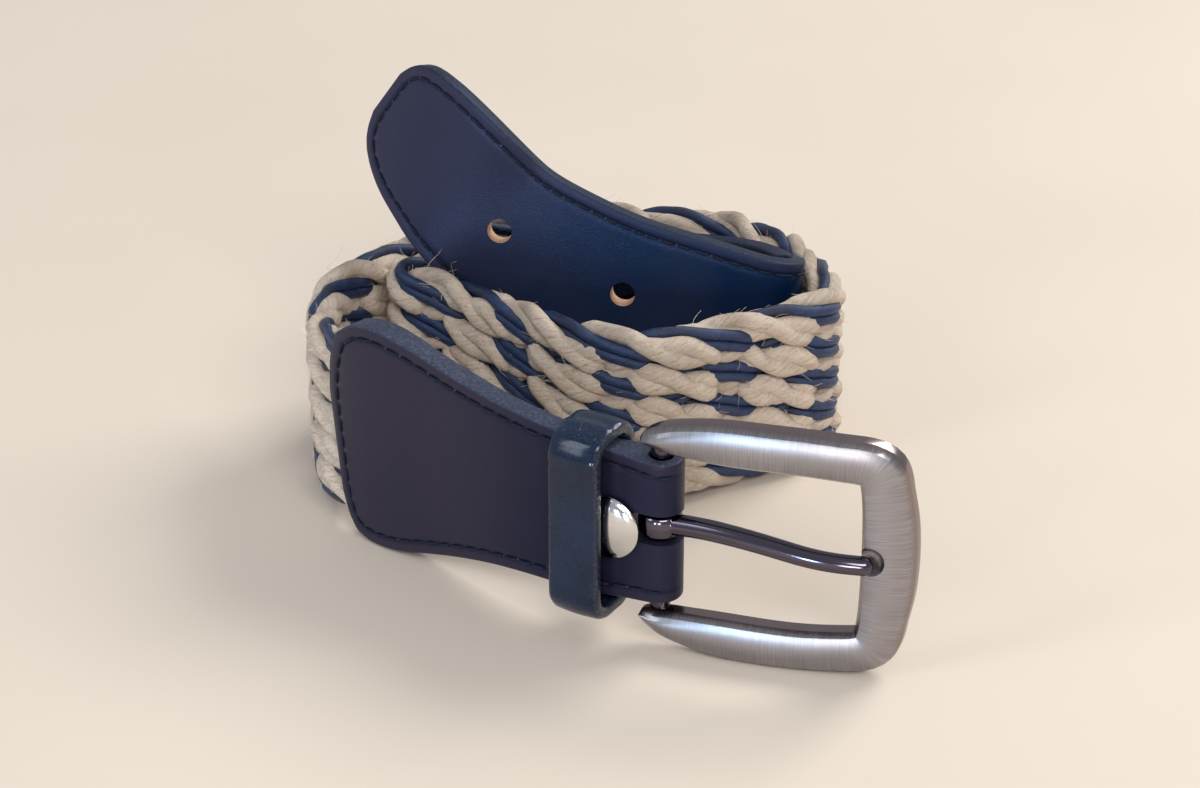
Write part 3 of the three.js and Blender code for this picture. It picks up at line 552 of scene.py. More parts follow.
JUTE, FUZZ, CORD = jute_material(), fuzz_material(), cord_material()
TAB_LEATHER = leather_material("tab_leather", (0.0045, 0.0075, 0.0230), (0.0285, 0.0225, 0.0365), (0.034, 0.040, 0.066), 0.38, 0.18, (0.75, 0.75, 1.0, 1))
TIP_LEATHER = leather_material("tip_leather", (0.0014, 0.0110, 0.0380), (0.0360, 0.0320, 0.0560), (0.011, 0.015, 0.030), 0.33, 0.20, (0.40, 0.60, 1.0, 1))
KEEPER_LEATHER = keeper_material()
RAW = raw_leather_material()
THREAD = thread_material("navy_thread", (0.004, 0.006, 0.014), (0.014, 0.020, 0.045))
THREAD_LIGHT = thread_material("thread_ends", (0.10, 0.16, 0.28), (0.30, 0.38, 0.50))
# the warm brown (0.25, 0.190, 0.185) is the painted reflection tint of the sides and bevels
NICKEL = metal_material("brushed_nickel", (0.29, 0.27, 0.285), (0.39, 0.375, 0.395), 0.09, 1.0, 0.5, (0.25, 0.190, 0.185), True)
DARK_NICKEL = metal_material("dark_nickel", (0.085, 0.072, 0.095), (0.145, 0.130, 0.165), 0.10, 0.20, 0.4)
BRIGHT = metal_material("bright_nickel", (0.66, 0.64, 0.63), (0.76, 0.74, 0.72), 0.08, 0.03, 0.25)


# ------------------------------------------------------------------ braid
def wave(seed, x, low, high, count=5):
    """Slow seeded waviness, about -1 to 1."""
    r = np.random.default_rng(seed)
    out = np.zeros_like(x)
    for _ in range(count):
        out += np.sin(x * 2 * math.pi / r.uniform(low, high) + r.uniform(0, 6.28)) * r.uniform(0.4, 1)
    return out / (0.55 * count)


def braid_half(s):
    return np.minimum(BRAID_H / 2, table(BRAID_HALF, 1, LENGTH - TIP_LENGTH + BRAID_IN - s))


def strand(k, s):
    """Course of strand k: heights through the thickness (a) and across the width (b)."""
    ph = (-(s - JUTE_AT) / LAY + k / STRANDS + 2 / (2 * STRANDS)) % 1.0
    front = ph < 0.5                                # the pass that rises towards the tip
    q = np.where(front, ph, 1 - ph) * 2 * STRANDS   # crossings from the upper edge
    signed = np.where(front, 1.0, -1.0)
    d = np.abs((q + 2) % 4 - 2)                     # from the crossing where the other pass is on top
    reach = 1.0 if k % 2 == 0 else 1.55             # a jute float is longer than a navy one
    under = UNDER_JUTE if k % 2 == 0 else UNDER_NAVY
    dip = np.where(d < reach, np.cos(math.pi * d / 2 / reach) ** 2, 0)
    edge = np.minimum(q, STRANDS - q)
    h = np.where(edge < 1.2, smooth(edge / 1.2), 1 - (1 + under) * dip) * signed
    half = braid_half(s) - 1.75
    step = 2 * half / STRANDS
    eased = lambda x: np.sqrt(x * x + 0.35) - 0.12
    qq = np.where(q < STRANDS / 2, eased(q), STRANDS - eased(STRANDS - q))
    b = half - qq * step
    crown = np.where(edge < 1.2, 0.72 + 0.28 * smooth(edge / 1.2), (1 - dip) * (0.78 + 0.22 * smooth(d - 1)))
    return h, b, crown, q, signed


def squeeze(s):
    """The braid is pressed thinner where it goes into the leather."""
    a = 0.52 + 0.48 * smooth((s - 69.5) / 8)
    c = 0.36 + 0.64 * smooth((LENGTH - TIP_LENGTH - 0.5 - s) / 10)
    return np.minimum(a, c)


def frames_along(path, s):
    t = unit(np.gradient(path, axis=0))
    _, _, n, w = course(s)
    over = unit(n - (n * t).sum(1, keepdims=True) * t)
    side = unit(np.cross(over, t))
    return t, side, over


S_BRAID = np.arange(62, LENGTH - TIP_LENGTH + 6, 1.1)
jute, navy = Pile(), Pile()
float_tops = []
for k in range(STRANDS):
    s = S_BRAID
    is_jute = k % 2 == 0
    h, b, crown, q, sg = strand(k, s)
    thin = squeeze(s)
    a = (h * (LIFT if is_jute else LIFT - 0.12) + 0.16 * wave(100 + k, s, 7, 19)) * thin
    b = b + 0.28 * wave(200 + k, s, 9, 30)
    mid = on_strap(s, a, b)
    t, side, over = frames_along(mid, s)
    run = np.concatenate(([0], np.cumsum(np.linalg.norm(np.diff(mid, axis=0), axis=1))))
    inner = smooth((np.minimum(q, STRANDS - q) - 1) / 1.5)      # full floats stay off the edges
    puff = (0.69 + (0.39 + 0.10 * inner) * crown) * (1 + 0.07 * wave(300 + k, s, 5, 14))
    lifted = np.clip(np.abs(h) * (0.4 + 0.6 * crown), 0, 1)
    if is_jute:
        turn = 2 * math.pi * run / 25 + k * 1.3 + 0.5 * wave(400 + k, s, 20, 50)
        for ply in (0, math.pi):
            cx, cy = np.cos(turn + ply), np.sin(turn + ply)
            path = mid + side * (1.22 * cx * puff)[:, None] + over * (0.45 * cy * thin)[:, None]
            r = 1.62 * puff * (1 + 0.05 * wave(500 + 2 * k + int(ply > 1), s, 3, 9))
            # depth is 1 on the crown and 0 in the crevices; the jute material paints shade from it
            depth = np.repeat(lifted * 0.75 + 0.25 * (0.5 + 0.5 * cy * np.sign(h + 1e-6)), 10)
            tw = 2 * math.pi * run / 11
            jute.tube(path, side, over, r, r * (0.86 * (0.35 + 0.65 * thin)), 10, deep=depth,
                      yarn=lambda g, r=r, tw=tw, run=run, k=k, ply=ply: np.stack([
                          np.cos(g[None, :] + tw[:, None]) * 1.27 + 11 * k,
                          np.sin(g[None, :] + tw[:, None]) * 1.27 + 3 * ply,
                          np.broadcast_to(run[:, None], (len(run), len(g)))], -1).reshape(-1, 3))
        float_tops.append((k, s, mid, side, over, r, lifted))
    else:
        turn = 0.35 * wave(600 + k, s, 25, 70)
        for cord in (-1, 1):
            path = mid + side * (cord * (0.82 + 0.16 * crown) * np.cos(turn))[:, None] + over * (cord * 0.5 * np.sin(turn) * thin)[:, None]
            bead = 1 + 0.07 * wave(700 + 2 * k + cord, s, 3, 8)
            r = 1.12 * (0.84 + 0.16 * crown) * bead
            tw = 2 * math.pi * run / 6
            # lifted also sets the painted crevice shade of the cord
            navy.tube(path, side, over, r, r * (0.35 + 0.65 * thin), 8, deep=np.repeat(lifted, 8),
                      yarn=lambda g, tw=tw, run=run, k=k, cord=cord: np.stack([
                          np.cos(g[None, :] + tw[:, None]) * 1.0 + 11 * k,
                          np.sin(g[None, :] + tw[:, None]) * 1.0 + 5 * cord,
                          np.broadcast_to(run[:, None], (len(run), len(g)))], -1).reshape(-1, 3))
braid_jute = jute.make("braid_jute", [JUTE], "strap")
braid_navy = navy.make("braid_navy", [CORD], "strap")
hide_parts("braid")

# loose fibres standing off the jute
HAIRS, STRAY = 3600, 190
hair = Pile()
for i in range(HAIRS + STRAY):
    k, s, mid, side, over, r, lifted = float_tops[rng.integers(len(float_tops))]
    j = int(rng.integers(8, len(s) - 8))
    stray = i >= HAIRS
    g = rng.uniform(0, 2 * math.pi)
    sgn = 1.0 if rng.random() < 0.6 else -1.0
    out = unit((side[j] * math.cos(g) + over[j] * math.sin(g)))
    w = course(s[j:j + 1])[3][0]
    if stray:
        out = unit(out * 0.4 + w)
        if strand(k, s[j:j + 1])[3][0] > 2.5:
            continue
    root = mid[j] + side[j] * math.cos(g) * 1.9 * 0.9 + over[j] * math.sin(g) * 1.35 * 0.9
    t = unit(mid[j + 1] - mid[j]) * (1 if rng.random() < 0.5 else -1)
    long = rng.uniform(4, 9) if stray else rng.uniform(1.1, 3.8)
    lean = rng.uniform(0.2, 0.9) if stray else rng.uniform(0.9, 2.2)
    curl = rng.normal(0, 0.35, 3)
    steps = 10 if stray else 5
    turn0, turns, wide = rng.uniform(0, 6.28), rng.uniform(2.5, 6.5), rng.uniform(0.05, 0.16) * long
    c1 = unit(np.cross(out, t)); pts = []
    for x in np.linspace(0, 1, steps):
        p = root + out * long * x * (0.55 if not stray else 0.8 - 0.25 * x) + t * long * 0.5 * lean * x * x + curl * long * x * x * 0.5
        if stray:
            p = p + (t * (math.cos(turn0 + turns * x) - math.cos(turn0)) + c1 * (math.sin(turn0 + turns * x) - math.sin(turn0))) * wide
        pts.append(p)
    pts = np.array(pts)
    if pts[:, 2].min() < 0.3 or pts[:, 2].max() > 39.5 and not stray:
        continue
    tt = unit(np.gradient(pts, axis=0))
    e1 = unit(np.cross(tt, np.array((0.3, 0.5, 0.81))))
    rr = np.linspace(0.055, 0.02, steps)
    hair.tube(pts, e1, unit(np.cross(tt, e1)), rr, rr, 3)
fuzz = hair.make("jute_fuzz", [FUZZ], "strap")


# ------------------------------------------------------------------ leather straps
def outline_distance(points, line):
    """Distance of flat points (N,2) to an open polyline (M,2)."""
    a, b = line[:-1], line[1:]
    d = b - a
    l2 = np.maximum((d * d).sum(1), 1e-9)
    best = np.full(len(points), 1e9)
    for c in range(0, len(points), 4000):
        p = points[c:c + 4000][:, None, :]
        k = np.clip(((p - a) * d).sum(-1) / l2, 0, 1)
        best[c:c + 4000] = np.linalg.norm(p - (a + k[..., None] * d), axis=-1).min(1)
    return best


def profile(d, thick, puff):
    """Half thickness at d from the outline: rounded painted edge, stitch groove, full middle."""
    r = EDGE_ROUND
    x = np.clip(d, 0, r)
    t = thick - r + np.sqrt(np.maximum(r * r - (r - x) ** 2, 0))
    t = t - 0.24 * np.exp(-((d - STITCH_IN) / 0.55) ** 2)
    return t + puff * smooth((d - 3) / 7) - 0.10 * (1 - smooth((d - 0.6) / 2.2)) * (d > 0.4)


INSETS = (0, 0.12, 0.3, 0.55, 0.9, 1.3, 1.7, 2.0, 2.3, 2.6, 3.0, 3.5, 4.3, 5.5, 7.0)


def strap_mesh(name, mats, s_list, half, drop, thick, back, line, puff, warm):
    """Leather wall along the course. half, drop, thick and back are functions of s; line is the outline."""
    s_list = np.asarray(s_list)
    rows, at_s, at_b, at_a, ins = [], [], [], [], []
    for s in s_list:
        hw = float(half(s))
        ins_ = [min(i, hw * (i / 7.0) * 0.9) if hw < 7.8 else i for i in INSETS]
        side = [hw - i for i in ins_]
        inner = list(np.linspace(side[-1], 0, 5)[1:-1])
        b = np.array(side + inner + [0] + [-x for x in inner[::-1]] + [-x for x in side[::-1]]) - float(drop(s))
        rows.append(b)
    B = np.array(rows)
    S = np.repeat(s_list[:, None], B.shape[1], 1)
    D = outline_distance(np.stack([S.ravel(), B.ravel()], 1), line).reshape(B.shape)
    D[:, 0] = 0; D[:, -1] = 0
    TH = profile(D, thick(S), puff(S))
    BK = back(S)
    front = on_strap(S.ravel(), (TH - BK).ravel(), B.ravel()).reshape(*B.shape, 3)
    rear = on_strap(S.ravel(), (-TH - BK).ravel(), B.ravel()).reshape(*B.shape, 3)[:, ::-1]
    ring = np.concatenate([front, rear], 1)
    n, m = ring.shape[:2]
    v = ring.reshape(-1, 3)
    f = grid_faces(n, m).tolist()
    half_m = m // 2
    for i, flip in ((0, True), (n - 1, False)):
        for j in range(half_m - 1):
            quad = [i * m + j, i * m + j + 1, i * m + m - 2 - j, i * m + m - 1 - j]
            f.append(quad if flip else quad[::-1])
    inset = np.concatenate([D, D[:, ::-1]], 1).ravel()
    sw = np.concatenate([S, S[:, ::-1]], 1).ravel()
    return v, f, inset, warm(sw)


def tidy(o):
    """Right way round, and no doubled points."""
    import bmesh
    bm = bmesh.new(); bm.from_mesh(o.data)
    bmesh.ops.remove_doubles(bm, verts=bm.verts, dist=2e-7)
    bmesh.ops.dissolve_degenerate(bm, edges=bm.edges, dist=1e-7)
    bmesh.ops.recalc_face_normals(bm, faces=bm.faces)
    bm.to_mesh(o.data); bm.free()
    o.data.polygons.foreach_set("use_smooth", [True] * len(o.data.polygons))
    o.data.update()


def carry(o, tree_v, values):
    """Gives point attributes back after a cut, from the nearest old point."""
    kd = kdtree.KDTree(len(tree_v))
    for i, p in enumerate(tree_v):
        kd.insert(p * MM, i)
    kd.balance()
    idx = np.array([kd.find(v.co)[1] for v in o.data.vertices])
    for key, val in values.items():
        val = np.asarray(val, np.float32)[idx]
        if key in o.data.attributes:
            o.data.attributes.remove(o.data.attributes[key])
        kind = "FLOAT" if val.ndim == 1 else "FLOAT_VECTOR"
        a = o.data.attributes.new(key, kind, "POINT")
        a.data.foreach_set("value" if kind == "FLOAT" else "vector", val.ravel())


def sharpen(o, degrees=38):
    me = o.data
    me.polygons.foreach_set("use_smooth", [True] * len(me.polygons))
    try:
        me.set_sharp_from_angle(angle=math.radians(degrees))
    except Exception:
        pass


def eased_table(rows, col, width, lo, hi):
    """The table's rows with their corners rounded over a width in mm."""
    x = np.arange(lo - 4 * width, hi + 4 * width, 0.05)
    y = table(rows, col, x)
    g = np.exp(-0.5 * (np.arange(-3 * width, 3 * width + 0.05, 0.05) / width) ** 2)
    pad = len(g) // 2
    y = np.convolve(np.pad(y, pad, mode="edge"), g / g.sum(), mode="same")[pad:-pad]
    return x, y


def end_eased(rows, col, end):
    """Rounded softly along the strap and hardly at its very end."""
    wide = eased_table(rows, col, 2.2, rows[0][0], rows[-1][0])
    slim = eased_table(rows, col, 0.30, rows[0][0], rows[-1][0])
    def f(s):
        w = smooth((np.abs(end - s) - 2.5) / 7)
        return w * np.interp(s, *wide) + (1 - w) * np.interp(s, *slim)
    return f


tab_half = end_eased(TAB_HALF, 1, TAB_LENGTH)
tab_drop = end_eased(TAB_HALF, 2, TAB_LENGTH)
_fine = np.concatenate([np.linspace(0, 62, 125), np.linspace(62, 69, 60)[1:]])
tab_line_up = np.stack([_fine, tab_half(_fine) - tab_drop(_fine)], 1)
tab_line_dn = np.stack([_fine, -tab_half(_fine) - tab_drop(_fine)], 1)


def ease(line, width):
    """Rounds a polyline's corners by averaging along it."""
    out = line.copy()
    for _ in range(width):
        out[1:-1] = 0.25 * out[:-2] + 0.5 * out[1:-1] + 0.25 * out[2:]
    return out


def tab_wall(s):
    """Half thickness, and how far the middle lies behind the course; the front runs smoothly into the fold."""
    thick, back = table(TAB_THICK, 1, s), table(TAB_THICK, 2, s)
    first, last = TAB_THICK[0], TAB_THICK[2]
    front = np.where(s < 6.5, (last[1] - last[2]) + ((first[1] - first[2]) - (last[1] - last[2])) * (1 - smooth(s / 6.5)), thick - back)
    rear = thick + back
    return (front + rear) / 2, (rear - front) / 2


tab_outline = np.concatenate([tab_line_up, tab_line_dn[::-1]])
tab_stations = np.unique(np.concatenate([np.linspace(0, 13, 27), np.linspace(13, 60, 60), np.linspace(60, 66, 13), np.linspace(66, TAB_LENGTH, 11)]))
# the last function is a painted reflection of the warm floor, browner towards the paddle end
tab_v, tab_f, tab_inset, tab_floor_reflection = strap_mesh(
    "tab", None, tab_stations, tab_half, tab_drop, lambda s: tab_wall(s)[0], lambda s: tab_wall(s)[1],
    np.concatenate([tab_line_up, tab_line_dn[::-1]]), lambda s: 0.22 * smooth((s - 22) / 20),
    lambda s: 0.08 + 0.77 * smooth((s - 14) / 30))
tab = make("tab_leather", tab_v, tab_f, [TAB_LEATHER], None)
tidy(tab)
fold_half = TAB_HALF[0][1]
g = np.linspace(0, math.pi / 2, 7)
half_profile = [(FOLD_OUT_R - EDGE_ROUND + EDGE_ROUND * math.sin(x), fold_half - EDGE_ROUND + EDGE_ROUND * math.cos(x)) for x in g]
fold_profile = half_profile + [(FOLD_OUT_R, v) for v in np.linspace(fold_half - 2, -fold_half + 2, 9)] + [(r, -v) for r, v in half_profile[::-1]]
turns = np.arange(80) * 2 * math.pi / 80
fp = np.array(fold_profile)
fv = np.stack([at_buckle(r * np.cos(turns), r * np.sin(turns), v) for r, v in fold_profile]).reshape(-1, 3)
ff = grid_faces(len(fp), 80).tolist() + [list(range(80))[::-1], [(len(fp) - 1) * 80 + j for j in range(80)]]
fold = make("cutter", fv, ff, [])
tidy(fold)
boolean(tab, fold, "UNION")
boolean(tab, cylinder(FOLD_IN_R, at_buckle(0, 0, -30), at_buckle(0, 0, 30), 40), "DIFFERENCE")
# prong slot with a round end
ql = np.linspace(math.pi / 2, 3 * math.pi / 2, 13)
slot_uv = [(9, -SLOT_H / 2), (9, SLOT_H / 2)] + [(-SLOT_BACK + 1.6 + 1.6 * math.cos(g), SLOT_H / 2 * math.sin(g)) for g in ql]
sv = np.concatenate([[at_buckle(u, -9, v + PRONG_V) for u, v in slot_uv], [at_buckle(u, 9, v + PRONG_V) for u, v in slot_uv]])
ns = len(slot_uv)
boolean(tab, make("cutter", sv, grid_faces(2, ns).tolist() + [list(range(ns))[::-1], list(range(ns, 2 * ns))], []), "DIFFERENCE")
fold_pts = np.concatenate([at_buckle(FOLD_OUT_R * np.cos(g), FOLD_OUT_R * np.sin(g), np.array([v])) for g in np.linspace(-1.4, 1.4, 9)
                           for v in np.concatenate([np.linspace(-fold_half, -fold_half + 5, 9), np.linspace(-6, 6, 7), np.linspace(fold_half - 5, fold_half, 9)])])
fold_inset = np.array([fold_half - abs(p[2] - BAR[2]) for p in fold_pts])
carry(tab, np.concatenate([tab_v, fold_pts]), {"inset": np.concatenate([tab_inset, fold_inset]), "warm": np.concatenate([tab_floor_reflection, np.full(len(fold_pts), 0.08)])})
sharpen(tab, 50)
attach(tab, "strap"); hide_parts("tab")

_tip = end_eased(TIP_HALF, 1, 0)
tip_half = lambda s: _tip(LENGTH - s)
TIP_FROM = LENGTH - TIP_LENGTH
_fine = np.concatenate([np.linspace(TIP_FROM, LENGTH - 15, 200), np.linspace(LENGTH - 15, LENGTH, 90)[1:]])
tip_line = np.concatenate([np.stack([_fine, tip_half(_fine)], 1), np.stack([_fine, -tip_half(_fine)], 1)[::-1]])
tip_stations = np.unique(np.concatenate([np.arange(TIP_FROM, LENGTH - 15, 1.0), np.linspace(LENGTH - 15, LENGTH - 3, 19), np.linspace(LENGTH - 3, LENGTH, 13)]))
# the last function is a painted reflection of the warm floor, browner towards the raised tip and near the start of the
# strap
tip_v, tip_f, tip_inset, tip_floor_reflection = strap_mesh(
    "tip", None, tip_stations, tip_half, lambda s: 0 * s, lambda s: TIP_T / 2 + 0 * s, lambda s: 0 * s, tip_line,
    lambda s: 0.05 + 0 * s, lambda s: 0.75 * smooth((s - (LENGTH - 62)) / 45) + 0.5 * smooth((LENGTH - 84 - s) / 28))
tip = make("tip_leather", tip_v, tip_f, [TIP_LEATHER, RAW], None)
tidy(tip)
hole_s = LENGTH - HOLE_FIRST - np.arange(HOLES) * HOLE_PITCH
hp, ht, hn, hw = course(hole_s)
for i in range(HOLES):
    boolean(tip, cylinder(HOLE_D / 2, hp[i] - hn[i] * 4, hp[i] + hn[i] * 4, 40, side=ht[i]), "DIFFERENCE")
carry(tip, tip_v, {"inset": tip_inset, "warm": tip_floor_reflection})
for poly in tip.data.polygons:
    c = np.array(poly.center) / MM
    for i in range(HOLES):
        r = c - hp[i]
        r = r - (r @ hn[i]) * hn[i]
        if np.linalg.norm(r) < HOLE_D / 2 + 0.02 and abs(np.array(poly.normal) @ hn[i]) < 0.4:
            poly.material_index = 1
sharpen(tip, 50)
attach(tip, "strap"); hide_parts("tip_strap")


# ------------------------------------------------------------------ stitching
def inset_path(line, inset):
    """A polyline that runs inside an outline at a fixed distance."""
    mid = line.mean(0)
    t = unit(np.gradient(line, axis=0))
    nrm = np.stack([t[:, 1], -t[:, 0]], 1)
    if ((mid - line[len(line) // 4]) * nrm[len(line) // 4]).sum() < 0:
        nrm = -nrm
    p = line + nrm * inset
    keep = outline_distance(p, line) > inset - 0.06
    p = p[keep]
    p = ease(p, 6)
    l = np.concatenate(([0], np.cumsum(np.linalg.norm(np.diff(p, axis=0), axis=1))))
    return p, l


def stitches(pile, ends, path, l, place, start=1.0, speck=0.35):
    """Short threads along a flat path; place(s, b) gives the point on the leather."""
    x = start
    r = np.random.default_rng(int(l[-1] * 10))
    while x + STITCH_LONG < l[-1]:
        q = np.linspace(0, 1, 7)
        lx = x + q * STITCH_LONG
        s = np.interp(lx, l, path[:, 0]); b = np.interp(lx, l, path[:, 1])
        pts, nrm = place(s, b)
        sag = 0.12 + THREAD_R * 0.55 - 1.1 * THREAD_R * (2 * q - 1) ** 6
        pts = pts + nrm * sag[:, None]
        t = unit(np.gradient(pts, axis=0))
        side = unit(np.cross(nrm, t))
        rr = THREAD_R * np.sqrt(np.clip(1 - (2 * q - 1) ** 8 * 0.75, 0.05, 1)) * r.uniform(0.9, 1.1)
        pile.tube(pts, side, nrm, rr * 1.15, rr, 8)
        if r.random() < speck:
            c, nn, tt = pts[-1] + t[-1] * 0.28, nrm[-1], t[-1]
            line = np.array([c - tt * 0.22, c - tt * 0.1, c + tt * 0.1, c + tt * 0.22]) + nn * 0.02
            ends.tube(line, np.repeat(unit(np.cross(nn, tt))[None], 4, 0), np.repeat(nn[None], 4, 0), np.array([0.06, 0.22, 0.22, 0.06]), np.array([0.05, 0.12, 0.12, 0.05]), 6)
        x += STITCH_PITCH * r.uniform(0.96, 1.04)


def tab_place(sign):
    def place(s, b):
        inner = np.maximum(s, 0)
        d = outline_distance(np.stack([inner, b], 1), tab_outline)
        thick, back = tab_wall(inner)
        a = profile(np.minimum(d, 6), thick, 0.22 * smooth((inner - 22) / 20))
        p, t, n, w = course(inner)
        pts = p + (sign * a - back)[:, None] * n + b[:, None] * w
        nrm = sign * n
        fold = s < 0
        ang = -s / FOLD_OUT_R
        round_n = np.cos(ang)[:, None] * sign * N_DIR + np.sin(ang)[:, None] * U_DIR
        pts = np.where(fold[:, None], BAR + round_n * (FOLD_OUT_R - 0.02) + b[:, None] * UP, pts)
        return pts, np.where(fold[:, None], round_n, nrm)
    return place


def tip_place(sign):
    def place(s, b):
        d = outline_distance(np.stack([s, b], 1), tip_line)
        a = profile(np.minimum(d, 6), TIP_T / 2, 0.05)
        p, t, n, w = course(s)
        return p + (sign * a)[:, None] * n + b[:, None] * w, sign * n
    return place


back_s = np.linspace(-4.4, 0, 12)[:-1]
full_line = np.concatenate([np.stack([back_s, np.full(11, 13.0)], 1), tab_outline, np.stack([back_s, np.full(11, -13.0)], 1)[::-1]])
thread, ends = Pile(), Pile()
path, l = inset_path(full_line, STITCH_IN)
for sign in (1, -1):
    stitches(thread, ends, path, l, tab_place(sign))
path, l = inset_path(tip_line, STITCH_IN)
for sign in (1, -1):
    stitches(thread, ends, path, l, tip_place(sign), speck=0.3)
# closing stitches across the start of the tip strap
for sign in (1, -1):
    line = np.stack([np.full(40, TIP_FROM + STITCH_IN), np.linspace(-11.6, 11.6, 40)], 1)
    ll = np.concatenate(([0], np.cumsum(np.linalg.norm(np.diff(line, axis=0), axis=1))))
    stitches(thread, ends, line, ll, tip_place(sign), start=0.3)
thread_o = thread.make("stitching", [THREAD], "strap")
ends_o = ends.make("stitch_ends", [THREAD_LIGHT], "strap")


# ------------------------------------------------------------------ keeper
kp, kt, kn, kw = (v[0] for v in course([KEEPER_S]))
strap_t = float(table(TAB_THICK, 1, KEEPER_S - KEEPER_W / 2)) + 0.15
strap_h = float(table(TAB_HALF, 1, KEEPER_S + KEEPER_W / 2))
kx0, kx1, ky = -strap_t - KEEPER_BACK, strap_t + KEEPER_FRONT, strap_h + KEEPER_OVER
cx0, cx1, cy = kx0 - KEEPER_T / 2, kx1 + KEEPER_T / 2, ky + KEEPER_T / 2
cr = KEEPER_ROUND - KEEPER_T / 2 - 0.15
loop, loop_n = [], []


def arc(ox, oy, a0, a1, steps=12):
    for g in np.linspace(a0, a1, steps):
        loop.append((ox + cr * math.cos(g), oy + cr * math.sin(g))); loop_n.append((math.cos(g), math.sin(g)))


def straight(x0, y0, x1, y1, nx, ny, steps):
    for q in np.linspace(0, 1, steps + 2)[1:-1]:
        loop.append((x0 + q * (x1 - x0), y0 + q * (y1 - y0))); loop_n.append((nx, ny))


straight(cx1, -cy + cr, cx1, cy - cr, 1, 0, 40)
arc(cx1 - cr, cy - cr, 0, math.pi / 2)
straight(cx1 - cr, cy, cx0 + cr, cy, 0, 1, 4)
arc(cx0 + cr, cy - cr, math.pi / 2, math.pi)
straight(cx0, cy - cr, cx0, -cy + cr, -1, 0, 40)
arc(cx0 + cr, -cy + cr, math.pi, 1.5 * math.pi)
straight(cx0 + cr, -cy, cx1 - cr, -cy, 0, -1, 4)
arc(cx1 - cr, -cy + cr, 1.5 * math.pi, 2 * math.pi)
loop, loop_n = np.array(loop), np.array(loop_n)
kb = np.cross(kn, kw)
KR = 0.8
hw, ht2 = KEEPER_W / 2, KEEPER_T / 2
sec = []
for (ox, oy, a0) in ((hw - KR, ht2 - KR, 0), (-hw + KR, ht2 - KR, 90), (-hw + KR, -ht2 + KR, 180), (hw - KR, -ht2 + KR, 270)):
    for g in np.radians(np.linspace(a0, a0 + 90, 6)):
        sec.append((ox + KR * math.cos(g), oy + KR * math.sin(g)))
    if a0 in (0, 180):
        sgn = 1 if a0 == 0 else -1
        for q in np.linspace(0, 1, 9)[1:-1]:
            sec.append((sgn * (hw - KR) * (1 - 2 * q), sgn * ht2))
sec = np.array(sec)
nl, m = len(loop), len(sec)
run = np.concatenate(([0], np.cumsum(np.linalg.norm(np.diff(loop, axis=0), axis=1))))
crown = np.where(sec[:, 1] > ht2 - 0.02, 0.32 * (1 - (sec[:, 0] / hw) ** 2), 0)
near_top = np.exp(-((loop[:, 1] - cy + 2.5) / 5.0) ** 2) * (loop[:, 0] > 0)
ripple = 0.10 * np.sin(run * 2.1) * near_top + 0.05 * wave(900, run, 3, 7)
kv = []
for i in range(nl):
    o3 = kn * loop_n[i, 0] + kw * loop_n[i, 1]
    c3 = kp + kn * loop[i, 0] + kw * loop[i, 1]
    off = sec[:, 1] + crown + np.where(sec[:, 1] > 0, ripple[i], 0)
    kv.append(c3 + sec[:, 0][:, None] * kb + off[:, None] * o3)
kv = np.array(kv)
kf = []
for i in range(nl):
    for j in range(m):
        a, b2 = i * m + j, i * m + (j + 1) % m
        c, d = ((i + 1) % nl) * m + (j + 1) % m, ((i + 1) % nl) * m + j
        kf.append([a, b2, c, d])
band = np.stack([np.repeat(run, m), np.tile(sec[:, 0], nl), np.tile(sec[:, 1], nl)], 1)
k_inset = np.tile(np.clip(np.minimum(hw - np.abs(sec[:, 0]), 9), 0, 9), nl)
keeper = make("keeper_loop", kv.reshape(-1, 3), kf, [KEEPER_LEATHER], "strap",
              {"band": band, "inset": k_inset, "wrinkle": np.repeat(0.35 + 0.65 * np.clip(near_top + (np.abs(loop[:, 1]) > cy - 5), 0, 1), m)})
tidy(keeper)
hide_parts("keeper")


# ------------------------------------------------------------------ snap cap
cp, ct, cn, cw = (v[0] for v in course([CAP_S]))
tab_face = float(table(TAB_THICK, 1, CAP_S - CAP_R) - table(TAB_THICK, 2, CAP_S - CAP_R))
c0 = cp + cn * (tab_face + 0.05)
prof = [(0, -1.5), (1.5, -1.5), (1.5, GAP), (CAP_R - 0.6, GAP), (CAP_R - 0.2, GAP + 0.06), (CAP_R, GAP + 0.28), (CAP_R - 0.06, GAP + 0.5),
        (CAP_R - 0.35, GAP + 0.66), (CAP_R - 0.7, GAP + 0.72)]
for g in np.linspace(0.25, 1, 14):
    prof.append(((CAP_R - 0.7) * math.cos(math.pi / 2 * g) / math.cos(math.pi / 8) if g < 1 else 0.0,
                 GAP + 0.72 + (CAP_RISE - 0.72) * (math.sin(math.pi / 2 * g) - math.sin(math.pi / 8)) / (1 - math.sin(math.pi / 8))))
SEG = 64
cv, cf = [], []
prof_ring = [p for p in prof if p[0] > 0]
for r, h in prof_ring:
    q = np.arange(SEG) * 2 * math.pi / SEG
    cv.append(c0 + cn * h + np.cos(q)[:, None] * ct * r + np.sin(q)[:, None] * cw * r)
cv = np.concatenate(cv + [np.array([c0 + cn * prof[0][1], c0 + cn * prof[-1][1]])])
nr = len(prof_ring)
cf = grid_faces(nr, SEG).tolist()
for j in range(SEG):
    cf.append([nr * SEG, (j + 1) % SEG, j]); cf.append([nr * SEG + 1, (nr - 1) * SEG + j, (nr - 1) * SEG + (j + 1) % SEG])
local = cv - c0
cap = make("snap_dome", cv, cf, [BRIGHT], "strap", {"lay": np.stack([np.linalg.norm(local - (local @ cn)[:, None] * cn, axis=1), local @ ct, local @ cw], 1), "face": np.zeros(len(cv))})
tidy(cap); sharpen(cap, 60)
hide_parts("snap_cap")


